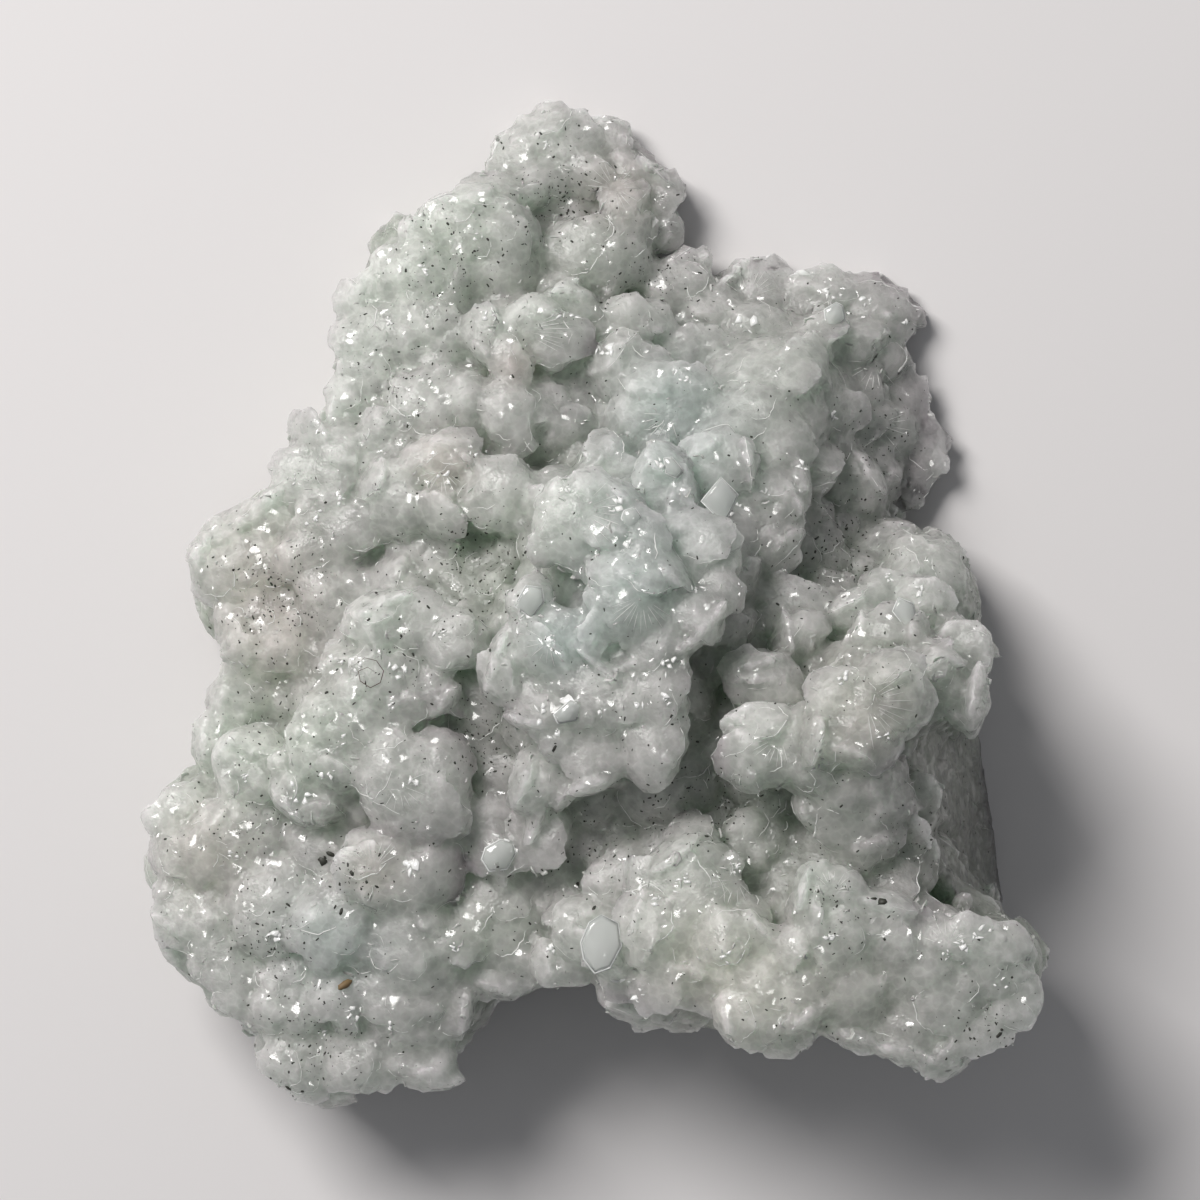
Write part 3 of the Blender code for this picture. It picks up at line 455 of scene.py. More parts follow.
def nearness(points, x, y, reach):
    """1 over the place x, y, and less the further a point lies from it, for an array of points."""
    return np.exp(-((points[:, 0] - x) ** 2 + (points[:, 1] - y) ** 2) / reach ** 2)


def bed_heights():
    """Places and heights that the bed between the knobs follows."""
    knobs = [(x, y, top - BED_DROP) for region in KNOBS.values() for x, y, top, _, _, _ in region]
    hollows = [(x, y, floor - HOLLOW_DROP) for x, y, floor in HOLLOWS]
    return np.array(knobs + hollows * HOLLOW_WEIGHT)


def bed_height(points, heights):
    """A smooth height under the knobs' tops and through the hollows' floors, for an array of points."""
    total = np.full(len(points), 1e-6)
    lift = total * FLOOR_Z
    for x, y, height in heights:
        weight = nearness(points, x, y, BED_REACH)
        total += weight
        lift += weight * height
    return lift / total


def on_bare_wall(x, y):
    (low_x, low_y), (high_x, high_y) = BARE_WALL
    return low_x < x < high_x and low_y < y < high_y


def add_bed(solids, rng):
    """Small shells on an uneven grid, as high as the bed is where each one stands."""
    edge = [(x * BED_EDGE_SHARE, y * BED_EDGE_SHARE) for x, y, _, _, _ in PLATE]
    rows = round(72 / BED_STEP)
    spots = []
    for row in range(rows):
        for column in range(rows):
            x = -36 + (column + rng.uniform(0.0, 1.0)) * BED_STEP
            y = -36 + (row + rng.uniform(0.0, 1.0)) * BED_STEP
            if inside(edge, x, y) and not on_bare_wall(x, y):
                spots.append((x, y))
    levels = bed_height(np.array(spots), bed_heights())
    for (x, y), level in zip(spots, levels):
        radius = rng.uniform(*BED_RADIUS)
        deep = radius * 0.7
        z = max(level + rng.uniform(*BED_UNEVEN) - deep, floor_level(y) - 1)
        root = max((z - floor_level(y) + BED_ROOT_DROP) / deep, 1.0)
        radii = (radius, radius * rng.uniform(0.7, 1.0), deep)
        lean = rng.uniform(0, 16)
        add_shell(solids, (x, y, z), radii, rng.uniform(0, 360), rng, 3, root, lean,
                  rng.uniform(0, 360), 1.4, 0.1)


def outline_point(loop, share):
    """The point at a share of the way round a closed loop."""
    pairs = list(zip(loop, loop[1:] + loop[:1]))
    left = share * sum(math.dist(start, end) for start, end in pairs)
    for start, end in pairs:
        length = math.dist(start, end)
        if left <= length:
            return Vector(start).lerp(Vector(end), left / length)
        left -= length
    return Vector(loop[0])


def add_flanks(solids, rng):
    """Rows of small shells round the plate's sides, except on the broken wall at the right."""
    edge = [(x, y, z) for x, y, z, _, _ in PLATE]
    length = sum(math.dist(a, b) for a, b in zip(edge, edge[1:] + edge[:1]))
    steps = round(length / FLANK_STEP)
    for height, reach in FLANK_ROWS:
        for step in range(steps):
            radius = rng.uniform(*FLANK_RADIUS)
            point = outline_point(edge, (step + rng.random()) / steps)
            z = point.z + height + rng.uniform(-FLANK_UNEVEN, FLANK_UNEVEN)
            outward = math.degrees(math.atan2(point.y, point.x))
            if on_bare_wall(point.x, point.y) or z < 0.6:
                continue
            radii = (radius, radius, radius * 0.75)
            place = (point.x * reach, point.y * reach, z)
            turn = rng.uniform(0, 180)
            lean = rng.uniform(*FLANK_LEAN)
            add_shell(solids, place, radii, turn, rng, 3, 1.0, lean, outward, 1.2, 0.15)


def band(low, high, count):
    """Faces between two closed rings of points, given the number of each ring's first point."""
    faces = []
    for i in range(count):
        j = (i + 1) % count
        faces += [(low + i, low + j, high + j), (low + i, high + j, high + i)]
    return faces


def add_plate(solids):
    """The crust's plate: a foot, a wider edge above it and a floor on top."""
    rings = (
        [(x, y, FOOT_Z) for _, _, _, x, y in PLATE],
        [(x, y, z) for x, y, z, _, _ in PLATE],
        [(x * FLOOR_INSET, y * FLOOR_INSET, z + FLOOR_OVER_EDGE) for x, y, z, _, _ in PLATE],
    )
    count = len(PLATE)
    points = [point for ring in rings for point in ring]
    points.append((0.0, 0.0, FOOT_Z))
    points.append((0.0, 0.0, FLOOR_Z))
    bottom = 3 * count
    top = bottom + 1
    low = band(0, count, count)
    high = band(count, 2 * count, count)
    faces = []
    for i in range(count):
        j = (i + 1) % count
        faces += [(bottom, j, i), (top, 2 * count + i, 2 * count + j)]
        faces += low[2 * i:2 * i + 2] + high[2 * i:2 * i + 2]
    solids.add(np.array(points), np.array(faces))


def all_shells():
    rng = random.Random(SHELL_SEED)
    solids = Solids()
    add_plate(solids)
    add_mounds(solids, rng)
    add_knobs(solids, rng)
    add_bed(solids, random.Random(BED_SEED))
    add_flanks(solids, random.Random(FLANK_SEED))
    return solids


def fine_crust(solids):
    """The whole crust as one closed mesh: fused, thinned out and then cut into small facets."""
    crust = bpy.data.objects.new("prehnite_crust", solids.mesh("prehnite_crust"))
    bpy.context.scene.collection.objects.link(crust)

    fuse(crust, ROUGH_STEP)
    largest_part_only(crust.data)
    grow(crust.data, CLOSING)
    fuse(crust, ROUGH_STEP)
    largest_part_only(crust.data)
    grow(crust.data, -CLOSING)
    add_scales(solids, crust.data)
    crust.data = joined_mesh("prehnite_crust", crust.data, solids.mesh("shells"))
    fuse(crust, REMESH_STEP)
    largest_part_only(crust.data)
    crust.data.calc_loop_triangles()

    thin = crust.modifiers.new("thin", "DECIMATE")
    thin.ratio = min(1.0, CRUST_TRIANGLES / len(crust.data.loop_triangles))
    apply_modifiers(crust)

    cut_facets(crust.data)
    return crust


def fineness(x, y):
    """1 in the middle of an area where the crystals are small, down to 0 far from all of them."""
    return max(math.exp(-((x - a) ** 2 + (y - b) ** 2) / reach ** 2) for a, b, reach in FINE_AREAS)


def add_scales(solids, mesh):
    """Lens-shaped crystals all over the upper crust, and the paths of their lifted rims."""
    rng = random.Random(SCALE_SEED)
    points, normals, _ = mesh_arrays(mesh)
    chosen = spaced_points(points, SCALE_STEP, np.random.default_rng(SCALE_SEED))
    for number in chosen:
        outward = normals[number]
        x, y, z = points[number]
        if z < 1.2 or outward[2] < -0.3 or on_bare_wall(x, y):
            continue
        low, high = SCALE_RADIUS
        fine = fineness(x, y)
        if rng.random() > SCALE_KEPT + fine:
            continue
        radius = (low + (high - low) * rng.random() ** 1.8) * (1 - FINE_SHRINK * fine)
        side = OUTWARD_SIDE + np.array([rng.gauss(0, OUTWARD_SPREAD) for _ in range(3)])
        side -= outward * side.dot(outward)
        side /= max(np.linalg.norm(side), 1e-6)
        face = outward - side * rng.uniform(*SCALE_LIFT)
        face /= np.linalg.norm(face)
        along = side - face * side.dot(face)
        along /= np.linalg.norm(along)
        bend = np.stack((along, np.cross(face, along), face))
        thickness = rng.uniform(*SCALE_THICKNESS) * radius ** 0.5
        centre = points[number] - outward * SCALE_SINK
        across = radius * rng.uniform(0.8, 1.15)
        lobes = random_lobes(rng)
        unit, faces = solids.sphere(4 if radius > 1.5 else 3)
        shape = shell_points(unit, (radius, across, thickness), 1.0, 1.6, 0.0, lobes)
        solids.add(shape @ bend + centre, faces)

        if rng.random() > RIM_KEPT:
            continue
        span = rng.uniform(*RIM_SPAN) / 2
        middle = rng.gauss(0, 22)
        steps = max(6, round(math.radians(span * 2) * radius / RIM_STEP))
        angles = np.radians(np.linspace(middle - span, middle + span, steps))
        ring = np.stack((np.cos(angles), np.sin(angles), np.zeros(steps)), axis=1)
        ring = shell_points(ring, (radius, across, thickness), 1.0, 1.6, 0.0, lobes)
        solids.rims.append(ring @ bend + centre)


def fuse(piece, step):
    """Joins all of a piece's closed surfaces into one outer skin."""
    remesh = piece.modifiers.new("fuse", "REMESH")
    remesh.mode = "VOXEL"
    remesh.voxel_size = step * MM
    apply_modifiers(piece)


def grow(mesh, distance):
    """Moves each point out along its normal. Out and back again closes the narrow gaps between knobs."""
    points, normals, _ = mesh_arrays(mesh)
    set_points(mesh, points + normals * distance)


def joined_mesh(name, *meshes):
    """One mesh that holds the faces of several."""
    bm = bmesh.new()
    for mesh in meshes:
        bm.from_mesh(mesh)
    joined = bpy.data.meshes.new(name)
    bm.to_mesh(joined)
    bm.free()
    return joined


def apply_modifiers(piece):
    """Bakes a piece's modifiers into its mesh."""
    graph = bpy.context.evaluated_depsgraph_get()
    baked = bpy.data.meshes.new_from_object(piece.evaluated_get(graph))
    piece.modifiers.clear()
    piece.data = baked


def mesh_arrays(mesh):
    """A mesh's points, point normals and edges as arrays, the points in millimetres from TABLE_ORIGIN."""
    points = np.empty(len(mesh.vertices) * 3, dtype=np.float32)
    mesh.vertices.foreach_get("co", points)
    points = points.reshape(-1, 3).astype(np.float64) / MM - TABLE_ORIGIN
    normals = np.empty(len(mesh.vertices) * 3, dtype=np.float32)
    mesh.vertex_normals.foreach_get("vector", normals)
    edges = np.empty(len(mesh.edges) * 2, dtype=np.int32)
    mesh.edges.foreach_get("vertices", edges)
    return points, normals.reshape(-1, 3).astype(np.float64), edges.reshape(-1, 2)


def set_points(mesh, points):
    """Puts points in millimetres from TABLE_ORIGIN back into a mesh."""
    metres = ((points + TABLE_ORIGIN) * MM).astype(np.float32)
    mesh.vertices.foreach_set("co", metres.ravel())
    mesh.update()


def largest_part_only(mesh):
    """Drops closed bubbles and loose crumbs, which the fusing can leave inside and outside the crust."""
    _, _, edges = mesh_arrays(mesh)
    label = np.arange(len(mesh.vertices))
    while True:
        low = np.minimum(label[edges[:, 0]], label[edges[:, 1]])
        new = label.copy()
        np.minimum.at(new, edges[:, 0], low)
        np.minimum.at(new, edges[:, 1], low)
        new = new[new]
        if (new == label).all():
            break
        label = new
    keep = label == np.bincount(label).argmax()
    if keep.all():
        return
    bm = bmesh.new()
    bm.from_mesh(mesh)
    bm.verts.ensure_lookup_table()
    loose = [vertex for vertex in bm.verts if not keep[vertex.index]]
    bmesh.ops.delete(bm, geom=loose, context="VERTS")
    bm.to_mesh(mesh)
    bm.free()


def spaced_points(points, spacing, rng):
    """Numbers of points that lie at least about a spacing apart, chosen in random order."""
    order = rng.permutation(len(points))
    cells = {}
    chosen = []
    keys = np.floor(points / spacing).astype(int)
    for number in order:
        key = tuple(keys[number])
        if key in cells:
            continue
        cells[key] = number
        chosen.append(number)
    return np.array(chosen)


def flattened(points, normals, rng, step, tilt, limit, share):
    """Moves each patch of points towards a plane of its own, and tells which patch each point is in."""
    chosen = spaced_points(points, step, rng)
    tree = KDTree(len(chosen))
    for place, number in enumerate(chosen):
        tree.insert(points[number], place)
    tree.balance()
    planes = normals[chosen] + rng.normal(0, tilt, (len(chosen), 3))
    planes /= np.linalg.norm(planes, axis=1)[:, None]
    shares = share * rng.uniform(0.15, 1.2, len(chosen))
    nearest = np.array([tree.find(point)[1] for point in points])
    plane = planes[nearest]
    away = np.einsum("ij,ij->i", points[chosen][nearest] - points, plane)
    away = np.clip(away, -limit, limit) * shares[nearest]
    return plane * away[:, None], nearest, len(chosen)


def cut_facets(mesh):
    """Cuts large broken faces into the foot and the bare wall, and small crystal faces all over."""
    rng = np.random.default_rng(FACET_SEED)
    points, normals, _ = mesh_arrays(mesh)
    above_foot = np.clip(points[:, 2] / 0.8, 0, 1)
    (low_x, low_y), (_, high_y) = BARE_WALL
    wall = (points[:, 0] > low_x) & (points[:, 1] > low_y) & (points[:, 1] < high_y) & (points[:, 2] < 15)
    broken = np.maximum(np.clip((BROKEN_HEIGHT - points[:, 2]) / 2, 0, 1), wall)
    broken *= above_foot * (normals[:, 2] < 0.55)
    for step, tilt, limit, share in BROKEN_FACES:
        shift, _, _ = flattened(points, normals, rng, step, tilt, limit, share)
        points += shift * broken[:, None]

    shift, nearest, count = flattened(points, normals, rng, *SMALL_FACES)
    points += shift * (points[:, 2] > 0.4)[:, None]
    points[:, 2] = np.maximum(points[:, 2], 0.0)
    set_points(mesh, points)
    crystal = mesh.attributes.new("crystal", "FLOAT", "POINT")
    crystal.data.foreach_set("value", rng.random(count)[nearest].astype(np.float32))


def tube(path, width, sides=3):
    """A closed thin tube along a path, thickest at its middle and drawn out to points at its ends."""
    count = len(path)
    along = np.gradient(path, axis=0)
    along /= np.maximum(np.linalg.norm(along, axis=1)[:, None], 1e-9)
    beside = np.cross(along, (0.0, 0.0, 1.0))
    beside /= np.maximum(np.linalg.norm(beside, axis=1)[:, None], 1e-9)
    over = np.cross(beside, along)
    share = np.sin(np.linspace(0.04, math.pi - 0.04, count)) ** 0.6 * width
    rings = []
    for side in range(sides):
        angle = math.tau * (side + 0.25) / sides
        rings.append(path + (beside * math.cos(angle) + over * math.sin(angle)) * share[:, None])
    points = np.stack(rings, axis=1).reshape(-1, 3)
    faces = []
    for i in range(count - 1):
        faces += band(i * sides, (i + 1) * sides, sides)
    last = (count - 1) * sides
    for side in range(1, sides - 1):
        faces += [(0, side + 1, side), (last, last + side, last + side + 1)]
    return points, np.array(faces)


def open_parts(path, tree):
    """The stretches of a rim that lie at the crust's skin, moved onto it, and not inside the crust."""
    parts = [[]]
    for point in path:
        place, normal, _, _ = tree.find_nearest(Vector((point + TABLE_ORIGIN) * MM), 0.4 * MM)
        if place is None:
            parts.append([])
            continue
        depth = (np.array(place) / MM - TABLE_ORIGIN - point).dot(np.array(normal))
        if depth > 0.22:
            parts.append([])
            continue
        parts[-1].append(np.array(place) / MM - TABLE_ORIGIN)
    return [np.array(part) for part in parts if len(part) > 4]


def painted_rim_highlights(solids, tree):
    """The shells' rims that aren't buried in the crust, as one mesh of thin pale tubes: a painted highlight
    for light through the thin edges.
    """
    rng = random.Random(RIM_SEED)
    rims = Solids()
    for path in solids.rims:
        width = rng.uniform(*RIM_WIDTH)
        for part in open_parts(path, tree):
            rims.add(*tube(part, width))
    return rims


# Small flat crystals that stand on the crust
BLADE_SEED = 31
BLADE_COUNT = 2200
BLADE_RADIUS = (0.2, 0.7)
BLADE_THICKNESS = (0.025, 0.06)
BLADE_SPOKES = 6
BLADE_UNEVEN = 0.8

# Flat faces that are turned to the light, each seen as a bright fleck: x, y, radius
FLECKS = (
    (-3.2, 33.0, 0.5), (-2.0, 20.6, 0.9), (0.8, 18.2, 0.7), (11.0, 20.2, 0.8), (17.3, 13.4, 0.6),
    (17.0, 22.4, 0.5), (19.8, 22.0, 0.5), (22.8, 20.4, 0.5), (4.6, 9.9, 0.7), (9.9, 7.0, 0.5),
    (1.4, 6.8, 0.8), (-1.9, 8.1, 0.4), (2.7, 4.4, 0.5), (-4.3, -0.8, 0.7), (-2.9, -2.4, 0.4),
    (7.4, 1.2, 0.5), (10.3, 1.2, 0.5), (5.2, -4.1, 0.6), (5.2, -6.1, 0.7), (3.4, -6.8, 0.5),
    (-1.5, -6.8, 1.0), (-3.5, -7.2, 0.7), (0.6, -7.4, 0.5), (-2.4, -8.9, 0.5), (-0.2, -4.4, 0.4),
    (23.0, 0.7, 0.6), (20.9, 2.0, 0.4), (17.0, -5.1, 0.5), (20.2, -8.9, 0.4), (15.5, -11.0, 0.5),
    (-10.8, -2.0, 0.6), (-17.5, -4.0, 0.8), (-16.6, -4.4, 0.6), (-13.6, -4.5, 0.7), (-13.8, -7.0, 0.4),
    (-18.3, -11.7, 0.7), (-21.0, -13.5, 0.9), (-12.5, -12.3, 0.6), (-17.6, -9.4, 0.4), (-24.6, -12.2, 0.5),
    (-25.6, -17.6, 0.5), (-22.3, -23.0, 0.9), (-9.5, -23.8, 0.7), (-12.4, -18.2, 0.8), (-6.6, -17.0, 0.8),
    (-17.0, -28.7, 0.6), (-14.2, -29.6, 0.4), (-19.0, -30.2, 0.4), (-3.0, -24.0, 0.5), (3.5, -19.5, 0.7),
    (6.3, -19.0, 0.6), (4.6, -20.4, 0.5), (10.2, -18.4, 0.4), (9.0, -24.3, 0.5), (14.5, -24.0, 0.4),
    (2.0, -26.2, 0.8), (3.4, -26.8, 0.6), (16.4, -23.0, 0.5), (20.0, -19.0, 0.3), (26.7, -22.7, 0.7),
    (25.5, -23.5, 0.6), (24.4, -24.3, 0.5), (28.3, -26.0, 0.5), (30.2, -24.6, 0.4), (-17.6, 7.4, 0.6),
    (-19.6, 6.2, 0.5), (-21.2, 8.9, 0.4), (-10.4, 9.2, 0.5), (-8.6, 10.9, 0.4), (-7.4, 20.4, 0.5),
    (-14.4, 20.2, 0.4), (-8.2, 26.4, 0.4), (-11.9, 23.9, 0.4), (2.4, 31.0, 0.3), (5.0, 29.0, 0.4),
    (14.9, 9.7, 0.5), (12.2, 8.0, 0.4), (16.4, 8.2, 0.4), (6.9, 15.8, 0.4), (13.2, 16.4, 0.4),
)
LIGHT_DIRECTION = np.array((-0.472, 0.517, 0.713))
FLECK_TILT = 0.07
FLECK_SHARDS = 5
FLECK_WIDTH = (0.25, 0.8)
FLECK_CORNERS = (3, 4, 5)
FLECK_THICKNESS = 0.06
FLECK_UNEVEN = 0.45
FLECK_LIFT = np.array((0.0, 0.0, 0.03))

# Fine ribs that fan out over a lens: x, y, radius, first and last angle in degrees, number of ribs
FANS = (
    (-0.9, 6.6, 3.0, -60, 60, 9), (3.4, 0.6, 2.6, 200, 340, 12), (1.6, 30.0, 2.0, 0, 345, 22),
    (-10.6, 9.6, 1.9, 200, 340, 10), (-5.1, 19.5, 3.6, -30, 30, 9), (11.2, 22.2, 2.4, 20, 160, 12),
    (16.6, -19.7, 1.7, 0, 180, 9), (-6.6, -17.4, 1.4, 0, 340, 12), (18.8, -6.6, 3.4, -80, 60, 12),
    (-15.3, -18.4, 2.2, 30, 150, 9), (5.5, 13.5, 2.2, 180, 300, 8), (20.5, 13.0, 2.6, -60, 60, 9),
    (20.4, 17.5, 2.2, 180, 330, 9), (-3.0, -2.5, 1.8, 150, 330, 8), (13.0, -9.0, 2.2, 180, 300, 9),
    (-13.5, -12.5, 2.2, 240, 400, 8), (24.5, -23.5, 1.8, 0, 180, 8), (10.0, -19.0, 1.8, 180, 360, 8),
)
FAN_WIDTH = (0.015, 0.04)

# Clear crystals: x, y, half length, half width, turn, number of sides
CLEAR_CRYSTALS = (
    (8.9, 7.3, 1.55, 1.35, 52, 4), (-6.6, -17.5, 1.3, 1.1, 0, 7), (0.6, -23.4, 2.0, 1.4, 0, 8),
    (-4.3, 0.3, 1.3, 1.0, 20, 5), (2.7, 6.1, 0.8, 0.7, 0, 6), (21.9, -0.6, 1.2, 0.8, 40, 5),
    (5.6, 9.6, 0.9, 0.6, 70, 5), (-1.6, -7.4, 1.1, 0.7, 15, 5), (17.4, 20.8, 1.0, 0.8, 30, 6),
)
CLEAR_THICKNESS = 0.22
CLEAR_SINK = 0.15
CORNERS = ((0, 0), (-1, 0), (1, 0), (0, -1), (0, 1))

# A lint fibre that lies on the crust, and one brown grain
LINT_PATH = (
    (-16.6, -4.2), (-15.9, -3.7), (-15.1, -3.9), (-14.6, -4.6), (-14.8, -5.4), (-15.5, -5.7), (-16.2, -5.3),
    (-16.3, -4.6), (-15.7, -4.3), (-15.1, -4.7),
)
LINT_WIDTH = 0.035
BROWN_GRAIN = (-17.4, -26.7, 0.27, 0.6)

# Dark grains: scattered ones, patches of them (x, y, radius, count) and single larger ones
GRAIN_SEED = 17
GRAIN_COUNT = 1700
GRAIN_SHARE = 1.6
GRAIN_RADIUS = (0.03, 0.10)
GRAIN_PATCHES = (
    (-8.0, 2.5, 3.8, 130), (-22.0, 0.5, 3.4, 100), (7.5, -14.0, 3.4, 90), (18.0, 4.0, 3.8, 120),
    (-7.5, -9.5, 3.0, 90), (-22.5, -24.0, 2.8, 80), (-20.0, -31.0, 3.4, 70), (-2.0, 29.5, 3.4, 90),
    (3.5, 23.5, 3.2, 60), (-10.0, 24.0, 4.4, 90), (20.8, 12.0, 2.6, 50), (-14.5, 15.5, 3.6, 50),
    (-23.0, -7.5, 3.2, 40), (17.0, -20.5, 3.0, 40), (27.5, -29.0, 2.4, 30), (22.5, -16.5, 2.6, 40),
    (-24.5, -16.0, 3.0, 40), (-17.0, -19.5, 2.4, 40), (0.5, -16.5, 3.0, 40), (-14.0, -4.5, 3.2, 30),
)
LARGE_GRAINS = (
    (-19.0, -18.0, 0.34), (-18.5, -17.5, 0.26), (-16.8, -18.7, 0.18), (-17.6, -21.5, 0.2),
    (-21.4, -21.1, 0.16), (0.15, -21.2, 0.2), (-1.0, -19.6, 0.16), (-5.8, -19.0, 0.16),
    (20.0, -20.4, 0.26), (19.4, -20.2, 0.14), (28.2, -29.8, 0.2), (28.4, -29.4, 0.14),
    (31.4, -27.6, 0.16), (26.5, -30.0, 0.14), (-11.2, -6.9, 0.14), (-18.6, -6.1, 0.18),
    (-21.5, -34.2, 0.18), (-20.5, -34.4, 0.14), (-28.0, -12.6, 0.14), (-2.6, -9.9, 0.16),
)


def dropped(tree, x, y):
    """The crust's highest point under x, y and its normal, in millimetres from TABLE_ORIGIN, or None."""
    over = Vector((x + TABLE_ORIGIN[0], y + TABLE_ORIGIN[1], 100.0)) * MM
    place, normal, _, _ = tree.ray_cast(over, Vector((0, 0, -1)))
    if place is None:
        return None
    return np.array(place) / MM - TABLE_ORIGIN, np.array(normal)


def facing(normal, turn):
    """A turn that takes +Z to a normal, after a turn about +Z in degrees."""
    quat = Vector(normal).to_track_quat("Z", "Y")
    spin = turn_matrix(turn)
    return np.array(quat.to_matrix()) @ spin


def blade(radius, width, thickness, rng, spokes=BLADE_SPOKES, uneven=BLADE_UNEVEN):
    """A thin flat crystal with an uneven outline and bevelled edges."""
    angles = [math.tau * (i + rng.uniform(-0.25, 0.25)) / spokes for i in range(spokes)]
    reach = [rng.uniform(uneven, 1.1) for _ in range(spokes)]
    rim = [(math.cos(a) * r * radius, math.sin(a) * r * width, 0.0) for a, r in zip(angles, reach)]
    rim = np.array(rim)
    top = rim * 0.82 + np.array((0.0, 0.0, thickness))
    bottom = rim * 0.82 - np.array((0.0, 0.0, thickness))
    points = np.concatenate((bottom, rim, top))
    faces = band(0, spokes, spokes) + band(spokes, 2 * spokes, spokes)
    for i in range(1, spokes - 1):
        faces += [(0, i + 1, i), (2 * spokes, 2 * spokes + i, 2 * spokes + i + 1)]
    return points, np.array(faces)


def small_blades(points, normals):
    """Thin crystals that stand on the crust at random, more of them on its upper knobs."""
    rng = random.Random(BLADE_SEED)
    solids = Solids()
    upper = np.flatnonzero((normals[:, 2] > -0.2) & (points[:, 2] > 1.5))
    upper = upper[~((points[upper, 0] > 24.5) & (points[upper, 1] > -21) & (points[upper, 1] < -8))]
    for number in rng.choices(list(upper), k=BLADE_COUNT):
        radius = BLADE_RADIUS[0] + (BLADE_RADIUS[1] - BLADE_RADIUS[0]) * rng.random() ** 1.7
        outward = normals[number]
        sideways = np.cross(outward, np.array([rng.gauss(0, 1) for _ in range(3)]))
        sideways /= np.linalg.norm(sideways)
        face = sideways + outward * rng.uniform(0.1, 1.3)
        shape, faces = blade(radius, radius * rng.uniform(0.5, 0.9), rng.uniform(*BLADE_THICKNESS), rng)
        turned = shape @ facing(face, rng.uniform(0, 360)).T
        solids.add(turned + points[number] - outward * 0.45 * radius, faces)
    return solids


def bright_flecks(tree):
    rng = random.Random(BLADE_SEED + 1)
    towards = LIGHT_DIRECTION + np.array((0.0, 0.0, 1.0))
    solids = Solids()
    for x, y, radius in FLECKS:
        for _ in range(FLECK_SHARDS):
            spot = dropped(tree, x + rng.gauss(0, 0.5 * radius), y + rng.gauss(0, 0.5 * radius))
            if spot is None:
                continue
            place, _ = spot
            size = radius * rng.uniform(0.25, 0.85)
            face = towards + np.array([rng.gauss(0, FLECK_TILT) for _ in range(3)])
            width = size * rng.uniform(*FLECK_WIDTH)
            corners = rng.choice(FLECK_CORNERS)
            shape, faces = blade(size, width, FLECK_THICKNESS, rng, corners, FLECK_UNEVEN)
            solids.add(shape @ facing(face, rng.uniform(0, 360)).T + place + FLECK_LIFT, faces)
    return solids


def laid_path(tree, places, lift):
    """A path over x, y places that lies on the crust, or None where it runs off the crust."""
    spots = [dropped(tree, x, y) for x, y in places]
    if any(spot is None for spot in spots):
        return None
    return np.array([place + normal * lift for place, normal in spots])


def lens_ribs(tree):
    """The fine ribs on the larger lenses."""
    rng = random.Random(BLADE_SEED + 2)
    solids = Solids()
    for x, y, radius, first, last, count in FANS:
        for rib in range(count):
            angle = math.radians(first + (last - first) * (rib + rng.uniform(-0.2, 0.2)) / count)
            start = rng.uniform(0.2, 0.5) * radius
            end = rng.uniform(0.8, 1.05) * radius
            reaches = [start + (end - start) * i / 9 for i in range(10)]
            places = [(x + math.cos(angle) * reach, y + math.sin(angle) * reach) for reach in reaches]
            path = laid_path(tree, places, 0.01)
            if path is None or np.abs(np.diff(path[:, 2])).max() > 0.45:
                continue
            solids.add(*tube(path, rng.uniform(*FAN_WIDTH)))
    return solids


def clear_crystals(tree):
    """Clear flat crystals, and a pale tube round each one's edge: a painted highlight for the bright
    outline that each one shows.
    """
    rng = random.Random(BLADE_SEED + 3)
    solids = Solids()
    edge_highlights = Solids()
    for x, y, along, across, turn, sides in CLEAR_CRYSTALS:
        _, normal = dropped(tree, x, y)
        shape, faces = blade(along, across, CLEAR_THICKNESS, rng, sides, 0.9)
        bend = facing(normal * 0.12 + np.array((0.1, -0.1, 1.0)), turn)
        spots = [dropped(tree, x + dx * along * 0.8, y + dy * across * 0.8) for dx, dy in CORNERS]
        middle = np.array((x, y, max(spot[0][2] for spot in spots if spot) - CLEAR_SINK))
        solids.add(shape @ bend.T + middle, faces)
        rim = shape[sides:2 * sides]
        loop = []
        for start, end in zip(rim, np.roll(rim, -1, axis=0)):
            loop += [start + (end - start) * share for share in (0.0, 0.25, 0.5, 0.75)]
        loop = np.array(loop + loop[:1]) @ bend.T + middle
        # Painted highlight: a pale tube round the crystal's edge
        edge_highlights.add(*tube(loop, 0.075))
    return solids, edge_highlights


def lint_fibre(tree):
    solids = Solids()
    solids.add(*tube(laid_path(tree, LINT_PATH, 0.12), LINT_WIDTH))
    return solids


def brown_grain(tree):
    x, y, width, length = BROWN_GRAIN
    place, normal = dropped(tree, x, y)
    solids = Solids()
    unit, faces = solids.sphere(3)
    shape = shell_points(unit, (width, length, 0.3), 1.0, 1.0, 0.0, random_lobes(random.Random(GRAIN_SEED)))
    solids.add(shape @ facing(normal, 12).T + place, faces)
    return solids


